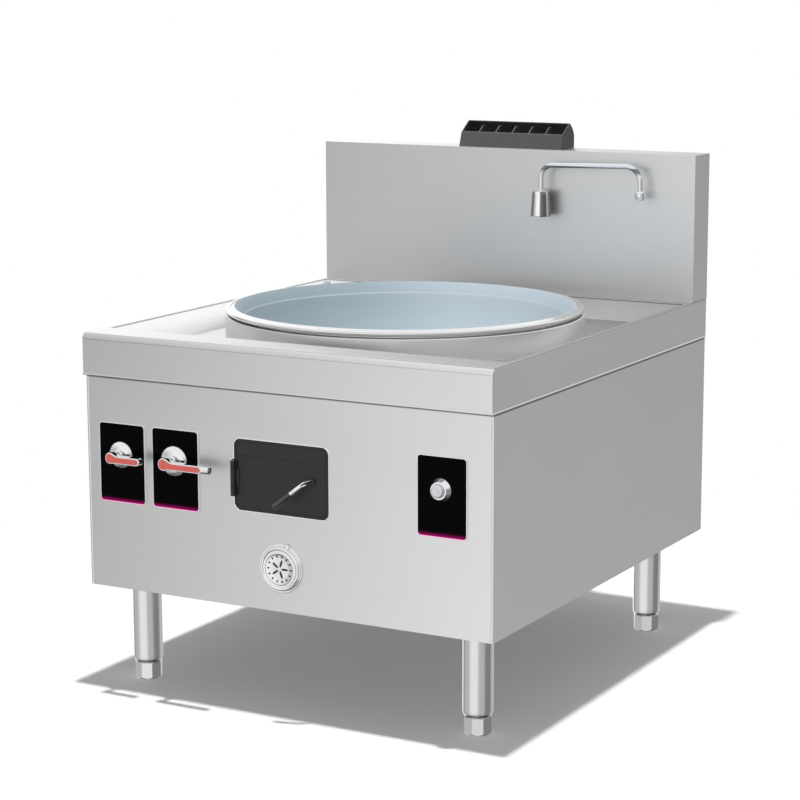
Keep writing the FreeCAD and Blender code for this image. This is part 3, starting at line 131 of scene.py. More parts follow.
def mix_colours(start, share, first, second):
    return start.make("ShaderNodeMix", {"data_type": "RGBA"},
                      {"Factor": share, "A": first, "B": second}, out="Result")


def mix_values(start, share, first, second):
    return start.make("ShaderNodeMix", {"data_type": "FLOAT"},
                      {"Factor": share, "A": first, "B": second}, out="Result")


def ramp(start, share, low, high, bottom=0.0, top=1.0):
    """Smooth step of a value between low and high."""
    return start.make("ShaderNodeMapRange", {"interpolation_type": "SMOOTHSTEP"},
                      {"Value": share, "From Min": low, "From Max": high,
                       "To Min": bottom, "To Max": top})


def noise(start, place, scale, detail=2.0):
    return start.make("ShaderNodeTexNoise", {}, {"Vector": place, "Scale": scale,
                                                 "Detail": detail})


def parts_of(start, vector):
    split = start.make("ShaderNodeSeparateXYZ", {}, {"Vector": vector})
    return split, split.other("Y"), split.other("Z")


def grey_around(start, across, ahead, stops):
    """Grey level by direction about the upright axis, from (share of a turn, level) stops."""
    turns = start.math("ARCTAN2", across, ahead) * (0.5 / math.pi) + 1.0
    return start.make("ShaderNodeValToRGB",
                      {"stops": [(share, (grey, grey, grey)) for share, grey in stops]},
                      {"Fac": start.math("FRACT", turns)})


finishes = {}


def open_finish(name):
    """A new finish; gives its shader node, a starting wire and the place on the object."""
    finish = bpy.data.materials.new(name)
    finishes[name] = finish
    finish.use_nodes = True
    start = Wire(finish.node_tree)
    place = start.make("ShaderNodeTexCoord", out="Object")
    return finish.node_tree.nodes["Principled BSDF"], start, place


def feed(shader, **sockets):
    """Sets constants on the shader's own sockets and links what varies."""
    for name, value in sockets.items():
        socket = shader.inputs[name.replace("_", " ")]
        if isinstance(value, Wire):
            shader.id_data.links.new(value.socket, socket)
        else:
            socket.default_value = value


def new_object(name, data):
    made = bpy.data.objects.new(name, data)
    bpy.context.scene.collection.objects.link(made)
    return made


floor_half = 15.0
white_from = 1.1
white_beyond = 1.7
floor_corners = [(-floor_half, -floor_half, 0), (floor_half, -floor_half, 0),
                 (floor_half, floor_half, 0), (-floor_half, floor_half, 0)]
floor_mesh = bpy.data.meshes.new("floor")
floor_mesh.from_pydata(floor_corners, [], [(0, 1, 2, 3)])
floor = new_object("floor", floor_mesh)
floor_shader, start, place = open_finish("white_floor")
cloudy = noise(start, place, 0.6, 2.0)
feed(floor_shader, Roughness=0.9,
     Base_Color=mix_colours(start, cloudy, (0.20, 0.20, 0.20, 1), (0.26, 0.26, 0.26, 1)))
# The camera sees a light floor, mirror rays pass through it, and all other rays
# meet a dark one, so that it sheds little light on the cabinet.
lit_floor = start.make("ShaderNodeBsdfDiffuse", {}, {"Color": (0.90, 0.90, 0.90, 1)})
glow = start.make("ShaderNodeEmission", {}, {"Color": (1, 1, 1, 1), "Strength": 0.095})
lit_floor = start.make("ShaderNodeAddShader", {}, {0: lit_floor, 1: glow})
white = start.make("ShaderNodeEmission", {}, {"Color": (1, 1, 1, 1)})
floor_x, floor_y = parts_of(start, place)[:2]
away = start.math("SQRT", floor_x * floor_x + floor_y * floor_y)
seen_floor = start.make("ShaderNodeMixShader", {}, {
    "Fac": ramp(start, away, white_from, white_beyond), 1: lit_floor, 2: white})
path = start.make("ShaderNodeLightPath", out="Is Camera Ray")
clear = start.make("ShaderNodeBsdfTransparent", {}, {"Color": (1, 1, 1, 1)})
dark_floor = Wire(start.tree, floor_shader.outputs["BSDF"])
unseen = start.make("ShaderNodeMixShader", {}, {"Fac": path.other("Is Glossy Ray"),
                                                1: dark_floor, 2: clear})
both = start.make("ShaderNodeMixShader", {}, {"Fac": path, 1: unseen, 2: seen_floor})
start.tree.links.new(both.socket, start.tree.nodes["Material Output"].inputs["Surface"])
floor_mesh.materials.append(finishes["white_floor"])

world = bpy.data.worlds.new("studio")
world.use_nodes = True
bpy.context.scene.world = world
air = Wire(world.node_tree)
background = world.node_tree.nodes["Background"]
path = air.make("ShaderNodeLightPath", out="Is Camera Ray")
way_x, way_y, way_z = parts_of(air, air.make("ShaderNodeTexCoord", out="Generated"))
walls = grey_around(air, way_x, way_y, (
    (0.0, 0.46), (0.10, 0.46), (0.15, 0.20), (0.26, 0.20), (0.31, 0.44), (0.40, 0.45),
    (0.445, 0.78), (0.57, 0.78), (0.635, 0.45), (0.755, 0.45), (0.77, 0.15), (0.80, 0.15),
    (0.82, 1.0), (0.92, 1.0), (0.95, 0.50)))
wall_gain = 1.25
ceiling_share = ramp(air, way_z, 0.05, 0.45)
to_bright_corner = way_x * -0.47 + way_y * 0.80 + way_z * 0.36
ceiling = 0.92 + ramp(air, to_bright_corner, 0.45, 1.0, 0.0, 0.34)
ground_dark = ramp(air, way_z, -0.75, -0.55, 0.25, 1.0)
mirrored = walls * wall_gain * ground_dark * (1.0 - ceiling_share) + ceiling * ceiling_share
room_light = 0.30
by_kind = mix_values(air, path.other("Is Glossy Ray"), room_light, mirrored)
strength = mix_values(air, path, by_kind, 1.0)
world.node_tree.links.new(strength.socket, background.inputs["Strength"])
background.inputs["Color"].default_value = (1.0, 1.0, 1.0, 1.0)

high_lamp = bpy.data.lights.new("high_lamp", "AREA")
high_lamp.shape = "DISK"
high_lamp.size = 0.30
high_lamp.energy = 960.0
holder = bpy.data.objects.new("high_lamp", high_lamp)
holder.location = (0.0, -0.38, 11.0)
holder.visible_glossy = False
bpy.context.scene.collection.objects.link(holder)


# ---- Finishes -------------------------------------------------------------
# Stainless sheet is ground in one direction. Fine lines run along the grain,
# and broad soft streaks change the gloss a little across a panel.
hem_shade_low = 0.6925
hem_shade_high = 0.6985


def hem_shade_line(start, place_x, place_y, place_z):
    """Shade on the cabinet sheets just below the apron's hem."""
    return (ramp(start, place_z, hem_shade_low, hem_shade_low + 0.0020)
            * ramp(start, place_z, hem_shade_high, hem_shade_high - 0.0010) * 0.75)


def shades(start, share, colour, swing):
    """The colour from darker to lighter as the share goes from 0 to 1."""
    dark = [part * (1 - swing) for part in colour]
    light = [min(1.0, part * (1 + swing)) for part in colour]
    return mix_colours(start, share, (*dark, 1), (*light, 1))


def bumps(start, strength, distance, height):
    return start.make("ShaderNodeBump", {}, {"Strength": strength, "Distance": distance,
                                             "Height": height})


def brushed_steel(name, colour, grain, gloss=0.42, depth=0.04, painted_light_drift=(0, 0, 0), mottle=0.0,
                  painted_shade_lines=hem_shade_line):
    """Ground stainless steel. The grain gives the stretch along X, Y and Z.

    The painted light drift is how much brighter the colour is painted per metre along
    each axis, and the painted shade lines give painted shade that darkens the sheet.
    """
    shader, start, place = open_finish(name)
    lines = start.make("ShaderNodeMapping", {}, {"Vector": place, "Scale": grain})
    fine = start.make("ShaderNodeTexNoise", {}, {"Vector": lines, "Scale": 420.0, "Detail": 3.0,
                                                 "Roughness": 0.6})
    streak = noise(start, lines, 26.0, 4.0)
    smear = noise(start, place, 3.2, 3.0)
    place_x, place_y, place_z = parts_of(start, place)
    shade = (fine * 0.35 + streak * 0.65) * 0.12 + 0.44
    # Painted light: the colour brightens steadily along the axes by the drift.
    shade = shade + place_x * painted_light_drift[0] + place_y * painted_light_drift[1] + (place_z - 0.5) * painted_light_drift[2]
    shade = shade + (smear - 0.5) * mottle
    tone = shades(start, shade, colour, 0.30)
    # Painted shade: the shade lines darken the colour towards black.
    tone = mix_colours(start, painted_shade_lines(start, place_x, place_y, place_z), tone, (0.04, 0.04, 0.04, 1))
    feed(shader, Base_Color=tone, Metallic=1.0,
         Roughness=fine * 0.06 + streak * 0.05 + smear * 0.08 + (gloss - 0.10),
         Normal=bumps(start, depth, 0.0002, fine))


def plain_finish(name, colour, rough, metal=0.0, mottle=0.06, scale=60.0, bump=0.05, coat=0.0):
    """A cast, painted or moulded surface with a fine uneven texture."""
    shader, start, place = open_finish(name)
    coarse = noise(start, place, scale, 4.0)
    grit = noise(start, place, scale * 14, 2.0)
    feed(shader, Base_Color=shades(start, coarse, colour, mottle), Metallic=metal,
         Roughness=coarse * 0.08 + (rough - 0.04), Coat_Weight=coat,
         Normal=bumps(start, bump, 0.0005, grit))


# Painted light: the front is painted brighter to the right and lower down, the sides lower down and
# towards the front, and the ring to the right.
brushed_steel("steel_front", (0.74, 0.74, 0.74), (0.01, 1, 1), painted_light_drift=(0.50, 0, -0.25))
brushed_steel("steel_side", (0.72, 0.72, 0.72), (1, 0.01, 1), painted_light_drift=(0, -0.15, -0.25))
brushed_steel("ring_steel", (0.78, 0.79, 0.79), (1, 1, 0.3), 0.34, painted_light_drift=(1.10, 0, 0), mottle=1.3)
brushed_steel("steel_bright", (0.80, 0.80, 0.80), (1, 1, 0.02), 0.20)
plain_finish("chrome", (0.86, 0.87, 0.88), 0.07, 1.0, 0.02, 30, 0.01)
plain_finish("grey_paint", (0.05, 0.052, 0.055), 0.45)
plain_finish("hood_enamel", (0.105, 0.105, 0.106), 0.55)
plain_finish("refractory", (0.52, 0.45, 0.34), 0.9, 0, 0.15, 40, 0.4)
plain_finish("cast_iron", (0.03, 0.03, 0.03), 0.6, 0.6, 0.2, 50, 0.3)
plain_finish("brass", (0.60, 0.42, 0.16), 0.3, 1.0)
plain_finish("galvanised", (0.42, 0.44, 0.45), 0.4, 0.9, 0.1, 90)
plain_finish("red_inlay", (0.98, 0.20, 0.17), 0.38, 0.7, 0.05, 60, 0.02, 0.1)
plain_finish("dark_chrome", (0.10, 0.10, 0.105), 0.25, 1.0, 0.1, 60)
plain_finish("grip_rubber", (0.012, 0.012, 0.012), 0.22, 0, 0.1, 60, 0.02, 1.0)
plain_finish("pale_button", (0.86, 0.87, 0.93), 0.3, 0.7, 0.03, 60, 0.02)
plain_finish("black_plastic", (0.006, 0.006, 0.006), 0.4)
plain_finish("door_black", (0.028, 0.028, 0.028), 0.42, 0, 0.08, 12)


# ---- Worktop --------------------------------------------------------------
# The top is one folded stainless sheet with a pressed well. Its front edge is
# rolled to a big round nose that ends in a fine crease above the flat apron.
worktop_front_y = -0.5505
worktop_top_z = 0.7912
nose_radius = 0.0127
crease_depth = 0.0009
crease_half = 0.0008
fold_round = 0.0013
smooth_limit = math.radians(32)
mitre_x = -0.474
mitre_y = 0.4616
mitre_length = 0.0925


def top_lines(start, place_x, place_y, place_z):
    """Shade along the well's edge and in the mitred corner joint behind it."""
    edge = (ramp(start, place_z, worktop_top_z - 0.0004, worktop_top_z - 0.0010)
            * ramp(start, place_z, worktop_top_z - 0.0032, worktop_top_z - 0.0024))
    from_x = place_x - mitre_x
    from_y = place_y - mitre_y
    across = from_x * 0.787 + from_y * 0.617
    along = from_x * 0.617 - from_y * 0.787
    mitre = ramp(start, start.math("ABSOLUTE", across), 0.0014, 0.0005)
    mitre = mitre * ramp(start, along, 0.0, 0.0020)
    mitre = mitre * ramp(start, along, mitre_length, mitre_length - 0.0020)
    return edge * 0.65 + mitre * 0.6


# Painted light: the top steel is a darker copy of the front steel, with more mottle, for faces that
# look up. It is painted brighter to the left and towards the back, and its shade lines paint shade
# along the well's edge.
brushed_steel("steel_top", (0.67, 0.67, 0.675), (0.01, 1, 1), 0.42, painted_light_drift=(-0.90, 0.15, 0),
              mottle=0.25, painted_shade_lines=top_lines)


def clean_copy(node_name, flat=0.4):
    """Work mesh from a CAD node, merged, its flat areas joined into single faces."""
    work = bmesh.new()
    work.from_mesh(nodes[node_name].data)
    bmesh.ops.remove_doubles(work, verts=work.verts, dist=1e-5)
    if flat:
        bmesh.ops.dissolve_degenerate(work, edges=work.edges, dist=1e-6)
        bmesh.ops.dissolve_limit(work, angle_limit=math.radians(flat), verts=work.verts,
                                 edges=work.edges)
    return work


def close_mesh(work, name, limit=smooth_limit):
    """Turns a work mesh into a mesh that is smooth but for its real edges."""
    bmesh.ops.recalc_face_normals(work, faces=work.faces)
    for face in work.faces:
        face.smooth = True
    for edge in work.edges:
        edge.smooth = edge.is_manifold and edge.calc_face_angle(0.0) < limit
    mesh = bpy.data.meshes.new(name)
    work.to_mesh(mesh)
    work.free()
    return mesh


def add_piece(name, shape, body, slot, finish, *stands_for):
    """One piece of the object from a mesh or a work mesh, riding its body."""
    mesh = close_mesh(shape, name) if isinstance(shape, bmesh.types.BMesh) else shape
    piece = new_object(name, mesh)
    for one in finish if isinstance(finish, (list, tuple)) else [finish]:
        mesh.materials.append(finishes[one])
    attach(piece, body)
    if stands_for:
        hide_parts(*stands_for)
    return piece


def by_direction(piece, sideways=0.9, skyward=0.35):
    """Second finish on the faces that look sideways, a third on those that look up."""
    behind_nose = worktop_front_y + nose_radius * 0.6
    for polygon in piece.data.polygons:
        if abs(polygon.normal.x) > sideways:
            polygon.material_index = 1
        elif polygon.normal.z > skyward and polygon.center.y > behind_nose:
            polygon.material_index = 2


def round_edges(piece, width, segments=2):
    bevel = piece.modifiers.new("small_bends", "BEVEL")
    bevel.width = width
    bevel.segments = segments
    bevel.limit_method = "ANGLE"
    bevel.angle_limit = smooth_limit
    bevel.harden_normals = True
    bevel.miter_outer = "MITER_ARC"
    return piece


crease_z = worktop_top_z - nose_radius - 0.0005
apron_reach = worktop_front_y + 0.0002
work = clean_copy("worktop")
for height in (crease_z - crease_half, crease_z, crease_z + crease_half):
    apron = [f for f in work.faces
             if f.calc_center_median().y < apron_reach and abs(f.normal.y) > 0.9]
    rim = {e for f in apron for e in f.edges} | {v for f in apron for v in f.verts}
    bmesh.ops.bisect_plane(work, geom=apron + list(rim), plane_co=(0, 0, height),
                           plane_no=(0, 0, 1), dist=1e-6)
for vert in work.verts:
    if abs(vert.co.z - crease_z) < 1e-5 and vert.co.y < apron_reach:
        vert.co.y += crease_depth
worktop = add_piece("worktop_sheet", work, "range", "steel_sheet",
                    ("steel_front", "steel_side", "steel_top"), "worktop")
by_direction(worktop)
round_edges(worktop, fold_round)


def skin(work, rows, closed=False, caps=False):
    """Faces between rows of vertices; a row is a closed loop or one point."""
    pairs = list(zip(rows, rows[1:]))
    if closed:
        pairs.append((rows[-1], rows[0]))
    if caps:
        work.faces.new(rows[0])
        work.faces.new(rows[-1])
    for one, two in pairs:
        steps = max(len(one), len(two))
        for i in range(steps):
            j = (i + 1) % steps
            corners = [one[i % len(one)], one[j % len(one)], two[j % len(two)], two[i % len(two)]]
            corners = list(dict.fromkeys(corners))
            if len(corners) > 2:
                work.faces.new(corners)
    return work


def bar_along(name, spots, radius, sides=12):
    """Round bar mesh through a line of points, with a mitre at every bend."""
    work = bmesh.new()
    rows = []
    spots = [Vector(spot) for spot in spots]
    for i, spot in enumerate(spots):
        before = spots[max(i - 1, 0)]
        after = spots[min(i + 1, len(spots) - 1)]
        go = ((after - spot) if i < len(spots) - 1 else (spot - before)).normalized()
        come = ((spot - before) if i else (after - spot)).normalized()
        run = (come + go).normalized()
        if rows:
            first = (first - run * first.dot(run)).normalized()
        else:
            first = run.orthogonal().normalized()
        second = run.cross(first)
        stretch = 1.0 / max(0.35, run.dot(go))
        bend = go - come
        flat = bend.normalized() if bend.length > 1e-4 else None
        row = []
        for k in range(sides):
            angle = 2 * math.pi * k / sides
            out = first * math.cos(angle) + second * math.sin(angle)
            if flat is not None:
                out += flat * out.dot(flat) * (stretch - 1.0)
            row.append(work.verts.new(spot + out * radius))
        rows.append(row)
    return close_mesh(skin(work, rows, caps=True), name, math.radians(50))


hem_radius = 0.0020
hem_z = 0.6999
hem_out = 0.0003
hem_back_y = 0.5795
hem_left_x = -0.5 - hem_out + hem_radius * 0.6
hem_front_y = worktop_front_y - hem_out + hem_radius * 0.6
hem = bar_along("apron_hem", [(hem_left_x, hem_back_y, hem_z), (hem_left_x, hem_front_y, hem_z),
                              (-hem_left_x, hem_front_y, hem_z), (-hem_left_x, hem_back_y, hem_z)],
                hem_radius)
add_piece("apron_hem", hem, "range", "steel_sheet", "steel_bright")


# ---- Backsplash -----------------------------------------------------------
# A tall box folded from thin stainless sheet stands on the back of the
# worktop. It is closed behind by a screwed cover.
backsplash_bend = 0.0012
backsplash = add_piece("backsplash_sheet", clean_copy("backsplash"), "range", "steel_sheet",
                       ("steel_front", "steel_side", "steel_top"), "backsplash")
by_direction(backsplash)
round_edges(backsplash, backsplash_bend)


# ---- Cabinet panels -------------------------------------------------------
# Front and side sheets are folded inward at their edges and meet in narrow
# joints at the corners. A rolled edge rounds both front corners.
panel_bend = 0.0005
corner_x = 0.4944
corner_y = -0.5377
corner_low = 0.2270
corner_high = 0.6975
corner_radius = 0.0034
for node_name, finish in (("front_panel", "steel_front"), ("side_panel_left", "steel_side"),
                          ("side_panel_right", "steel_side")):
    panel = add_piece(node_name + "_sheet", clean_copy(node_name), "range", "steel_sheet", finish,
                      node_name)
    round_edges(panel, panel_bend)
for name, x in (("corner_roll_left", -corner_x), ("corner_roll_right", corner_x)):
    roll = bar_along(name, [(x, corner_y, corner_low), (x, corner_y, corner_high)], corner_radius)
    add_piece(name, roll, "range", "steel_sheet", "steel_bright")


# ---- Wok ------------------------------------------------------------------
# The wok is spun from one steel disc: a round bowl, a conical collar and a
# flange with a rolled bead. Spinning leaves very fine rings round its axis.
pot_x = 0.0
pot_y = -0.0015
bowl_radius = 0.39438
bowl_centre_z = 0.93738
collar_z = 0.793
mouth_radius = 0.386
mouth_z = 0.8185
bead_radius = 0.0055
bead_ring = 0.4005
bead_z = 0.8105
wok_sheet = 0.0025
outer_z = 0.7905


def lathe(profile, centre, steps=128, along="Z", closed=False):
    """Work mesh turned from (radius, height) points about an axis through centre."""
    work = bmesh.new()
    rings = []
    for radius, height in profile:
        ring = []
        count = 1 if radius < 1e-7 else steps
        for i in range(count):
            angle = 2 * math.pi * i / steps
            across = radius * math.cos(angle)
            aside = radius * math.sin(angle)
            if along == "Y":
                spot = (centre[0] + across, height, centre[2] + aside)
            else:
                spot = (centre[0] + across, centre[1] + aside, height)
            ring.append(work.verts.new(spot))
        rings.append(ring)
    return skin(work, rings, closed)


def arc(centre_r, centre_h, radius, start, end, steps):
    """(radius, height) points on an arc; angles in degrees from the outward side."""
    spots = []
    for i in range(steps + 1):
        angle = math.radians(start + (end - start) * i / steps)
        spots.append((centre_r + radius * math.cos(angle), centre_h + radius * math.sin(angle)))
    return spots


collar_angle = math.degrees(math.asin((collar_z - bowl_centre_z) / bowl_radius))
outer_radius = bowl_radius + wok_sheet
outer_angle = math.degrees(math.asin((outer_z - bowl_centre_z) / outer_radius))
inside = arc(0.0, bowl_centre_z, bowl_radius, -90, collar_angle, 40)
inside[0] = (0.0, inside[0][1])
outside = arc(0.0, bowl_centre_z, outer_radius, outer_angle, -90, 40)
outside[-1] = (0.0, outside[-1][1])
bead = arc(bead_ring, bead_z, bead_radius, 148, -165, 22)
wok_line = inside + [(mouth_radius - 0.0008, mouth_z - 0.0009), (mouth_radius, mouth_z - 0.0002),
                     (mouth_radius + 0.0012, mouth_z - 0.0003)]
wok_line += bead + [(0.3935, 0.812), (0.3868, 0.812)] + outside
shader, start, place = open_finish("wok_inside")
place_x, place_y, place_z = parts_of(start, place)
off_y = place_y - pot_y
reach = start.math("SQRT", place_x * place_x + off_y * off_y)
rings = start.make("ShaderNodeTexNoise", {"noise_dimensions": "1D"},
                   {"W": reach * 420.0 + place_z * 300.0, "Scale": 1.0, "Detail": 3.0})
cloud = noise(start, place, 5.0, 3.0)
# Painted shade: the bowl is painted darker towards its left side.
tone = mix_colours(start, ramp(start, place_x, -0.36, -0.02), (0.33, 0.42, 0.475, 1),
                   (0.56, 0.66, 0.74, 1))
tone = mix_colours(start, rings * 0.25 + cloud * 0.15, tone, (0.66, 0.74, 0.78, 1))
# Painted highlight: a pale line along the collar crease.
crease = ramp(start, start.math("ABSOLUTE", place_z - collar_z - 0.0005), 0.0022, 0.0006)
tone = mix_colours(start, crease * 0.6, tone, (0.72, 0.80, 0.84, 1))
feed(shader, Base_Color=tone, Metallic=0.45, Roughness=rings * 0.06 + cloud * 0.06 + 0.46,
     Normal=bumps(start, 0.10, 0.0003, rings))
bowl = close_mesh(lathe(wok_line, (pot_x, pot_y, 0), 192), "wok_bowl", 0.35)
for polygon in bowl.polygons:
    if math.hypot(polygon.center.x - pot_x, polygon.center.y - pot_y) > mouth_radius + 0.0006:
        polygon.material_index = 1
add_piece("wok_bowl", bowl, "wok", "wok_steel", ("wok_inside", "steel_bright"), "wok")


# ---- Pot ring -------------------------------------------------------------
# A rolled and welded stainless band with a flat foot and an upright inner lip
# that carries the wok. Its outside is polished.
ring_sheet = 0.002
foot_radius = 0.386
foot_z = 0.7477
band_radius = 0.407
shoulder_z = 0.801
shoulder_bend = 0.0022
lip_radius = 0.392
lip_z = 0.812
ring_line = [(foot_radius, foot_z), (band_radius, foot_z), (band_radius, foot_z + 0.0010)]
ring_line += arc(band_radius - shoulder_bend, shoulder_z - shoulder_bend, shoulder_bend, 0, 90, 6)
ring_line += [(lip_radius + 0.0012, shoulder_z), (lip_radius + 0.0002, shoulder_z + 0.0008),
              (lip_radius, lip_z), (lip_radius - ring_sheet, lip_z),
              (lip_radius - ring_sheet, shoulder_z - ring_sheet),
              (band_radius - 0.0035, shoulder_z - ring_sheet),
              (band_radius - ring_sheet, shoulder_z - 0.0035),
              (band_radius - ring_sheet, foot_z + 0.0035),
              (band_radius - 0.0035, foot_z + ring_sheet), (foot_radius, foot_z + ring_sheet)]
add_piece("pot_ring_band", lathe(ring_line, (pot_x, pot_y, 0), 192, closed=True), "range",
          "polished_steel", "ring_steel", "pot_ring")


# ---- Lever plates and start plate -----------------------------------------
# Each is a sheet of black glass in a thin silver frame. A strip of magenta
# light shows along the lower edge.
plate_face_y = -0.5440
plate_back_y = -0.5405
plate_frame = 0.0020
plate_corner = 0.0085
lever_plates_low = 0.4208
start_plate_low = 0.4336


def outline(x0, x1, z0, z1, radius, y, per=7):
    """Corner points of an upright rounded rectangle."""
    spots = []
    for cx, cz, first in ((x1 - radius, z1 - radius, 0), (x0 + radius, z1 - radius, 90),
                          (x0 + radius, z0 + radius, 180), (x1 - radius, z0 + radius, 270)):
        for i in range(per):
            angle = math.radians(first + 90 * i / (per - 1))
            spots.append((cx + radius * math.cos(angle), y, cz + radius * math.sin(angle)))
    return spots


def stack(layers, closed=False):
    """Work mesh over upright rounded rectangles (x0, x1, z0, z1, radius, y)."""
    work = bmesh.new()
    loops = [[work.verts.new(spot) for spot in outline(*layer)] for layer in layers]
    return skin(work, loops, closed, caps=not closed)


def shrink(edges, inset, radius, y):
    return (edges[0] + inset, edges[1] - inset, edges[2] + inset, edges[3] - inset,
            max(radius - inset, 0.0004), y)


def low_glow(start, place, reach):
    """Share that is full at a plate's lower edge and fades out above it."""
    place_x, place_y, place_z = parts_of(start, place)
    low = mix_values(start, start.math("GREATER_THAN", place_x, 0.0), lever_plates_low,
                     start_plate_low)
    return ramp(start, place_z - low, reach, 0.0010)


shader, start, place = open_finish("black_glass")
smudge = noise(start, place, 18.0, 3.0)
lit = low_glow(start, place, 0.0150)
lit = lit * lit
feed(shader, Base_Color=mix_colours(start, smudge, (0.0012, 0.0012, 0.0012, 1),
                                    (0.0022, 0.0022, 0.0024, 1)),
     Roughness=smudge * 0.06 + 0.12, Specular_IOR_Level=0.03,
     Emission_Color=mix_colours(start, lit, (0.0, 0.0, 0.0, 1), (0.35, 0.004, 0.13, 1)),
     Emission_Strength=1.0)
# Painted light: near its lower edge the frame is painted pink and glows pink with the strip's light,
# and all round it glows faintly grey.
shader, start, place = open_finish("plate_rim")
grain = noise(start, place, 300.0)
pink = low_glow(start, place, 0.0050)
feed(shader, Base_Color=mix_colours(start, pink, (0.97, 0.97, 0.97, 1), (0.95, 0.55, 0.75, 1)),
     Metallic=0.6, Roughness=grain * 0.1 + 0.25,
     Emission_Color=mix_colours(start, pink, (0.10, 0.10, 0.10, 1), (0.45, 0.18, 0.30, 1)),
     Emission_Strength=1.0)
# The frames reach past the glass sheets of the solids by these amounts.
frame_left = 0.0005
frame_right = 0.0030
frame_below = 0.0022
frame_above = 0.0040
for node_name in ("plate_pilot", "plate_gas", "plate_start"):
    low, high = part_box(node_name)
    edges = (low.x - frame_left, high.x + frame_right, low.z - frame_below, high.z + frame_above)
    face = shrink(edges, plate_frame, plate_corner, plate_face_y + 0.0003)
    pane = stack([shrink(edges, plate_frame, plate_corner, plate_back_y), face,
                  shrink(edges, plate_frame + 0.0004, plate_corner, plate_face_y)])
    add_piece(node_name + "_glass", pane, "range", "black_glass", "black_glass", node_name)
    rim = stack([shrink(edges, 0.0, plate_corner, plate_back_y),
                 shrink(edges, 0.0, plate_corner, plate_face_y + 0.0002),
                 shrink(edges, 0.0003, plate_corner, plate_face_y - 0.0002),
                 shrink(edges, plate_frame - 0.0002, plate_corner, plate_face_y - 0.0002),
                 shrink(edges, plate_frame, plate_corner, plate_face_y + 0.0002),
                 shrink(edges, plate_frame, plate_corner, plate_back_y)], closed=True)
    add_piece(node_name + "_rim", rim, "range", "chrome", "plate_rim")


# ---- Lever roses ----------------------------------------------------------
# Pressed chrome domes that hide the spindle holes. Each ends in a short neck
# behind the lever.
lever_z = 0.528
neck_radius = 0.0085
rose_edge = 0.0012
rose_depth = 0.0118


def rose_line(radius):
    """Profile of a rose from the plate to the inside of its neck."""
    back = plate_face_y
    dome = [(radius, back), (radius, back - rose_edge)]
    for i in range(1, 15):
        angle = math.radians(84 * i / 14)
        dome.append((neck_radius + (radius - neck_radius) * math.cos(angle),
                     back - rose_edge - rose_depth * math.sin(angle)))
    return dome + [(0.0092, back - 0.0142), (0.0090, back - 0.0150), (0.0068, back - 0.0150),
                   (0.0066, back - 0.0120)]


for node_name, x, radius in (("rose_pilot", -0.406, 0.0305), ("rose_gas", -0.267, 0.034)):
    add_piece(node_name + "_dome", lathe(rose_line(radius), (x, 0, lever_z), 96, "Y"), "range",
              "chrome", "chrome", node_name)


# ---- Levers ---------------------------------------------------------------
# Chromed castings with a red enamel inlay sunk into the front. The gas lever
# ends in a hollow round tip.
inlay_edge = 0.0004
for valve in ("pilot", "gas"):
    add_piece("lever_" + valve + "_casting", clean_copy("lever_" + valve, 0.1), valve + "_lever",
              "chrome", "chrome", "lever_" + valve)
for valve in ("pilot", "gas"):
    enamel = add_piece("inlay_" + valve + "_enamel", clean_copy("inlay_" + valve, 0.1),
                       valve + "_lever", "red_inlay", "red_inlay", "inlay_" + valve)
    round_edges(enamel, inlay_edge)


# ---- Start button ---------------------------------------------------------
# A moulded push button stands in a conical chrome ring on its own plate.
button_x = 0.380
button_z = 0.533
bezel_line = [(radius, plate_face_y - out) for radius, out in (
    (0.0138, 0.0), (0.0240, 0.0), (0.0240, 0.0012), (0.0234, 0.0019), (0.0190, 0.0105),
    (0.0180, 0.0117), (0.0168, 0.0120), (0.0146, 0.0117), (0.0138, 0.0105))]
add_piece("start_ring", lathe(bezel_line, (button_x, 0, button_z), 96, "Y", closed=True), "range",
          "chrome", "chrome", "start_bezel")
button_face = plate_face_y - 0.0192
button_back = plate_face_y - 0.0035
button_radius = 0.0135
stem_radius = 0.0060
stem_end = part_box("start_button")[1].y
knob = [(0.0, button_face)]
for i in range(1, 10):
    share = i / 9
    knob.append((0.0105 * share, button_face - 0.0008 * math.sin(math.radians(90 * share))))
knob += [(0.0122, plate_face_y - 0.0194), (0.0131, plate_face_y - 0.0184),
         (button_radius, plate_face_y - 0.0165), (button_radius, button_back),
         (stem_radius, button_back), (stem_radius, stem_end), (0.0, stem_end)]
add_piece("start_knob", lathe(knob, (button_x, 0, button_z), 96, "Y"), "button", "pale_button",
          "pale_button", "start_button")


# ---- Hatch ----------------------------------------------------------------
# A painted steel door with a rolled edge and a pressed panel hangs on a black
# barrel hinge. A bright bead frames the opening in the front panel.
leaf_edges = (-0.1165, 0.1140, 0.4388, 0.5913)
leaf_face_y = -0.5405
leaf_back_y = -0.5375
panel_edges = (-0.1025, 0.0746, 0.4728, 0.5563)
leaf_corner = 0.015
panel_corner = 0.0044
hinge_x = -0.1165
hinge_y = -0.5465
knuckle_radius = 0.0060
knuckle_chamfer = 0.0008
pin_hole = 0.00305
strap_x = -0.1045
strap_low = 0.4865
strap_high = 0.5265
bead_out = 0.0021
bead_half_width = 0.0016
bead_height = 0.0009

door_layers = [shrink(leaf_edges, inset, leaf_corner, leaf_face_y + back)
               for inset, back in ((0.0, leaf_back_y - leaf_face_y), (0.0, 0.0012),
                                   (0.0004, 0.0004), (0.0012, 0.0), (0.0042, 0.0),
                                   (0.0050, 0.0007), (0.0058, 0.0007), (0.0066, 0.0))]
door_layers += [shrink(panel_edges, inset, panel_corner, leaf_face_y + back)
                for inset, back in ((-0.0016, 0.0), (-0.0004, 0.0006), (0.0006, 0.0006))]
add_piece("door_leaf", close_mesh(stack(door_layers), "door_leaf", math.radians(20)), "door",
          "door_black", "door_black", "hatch_door")


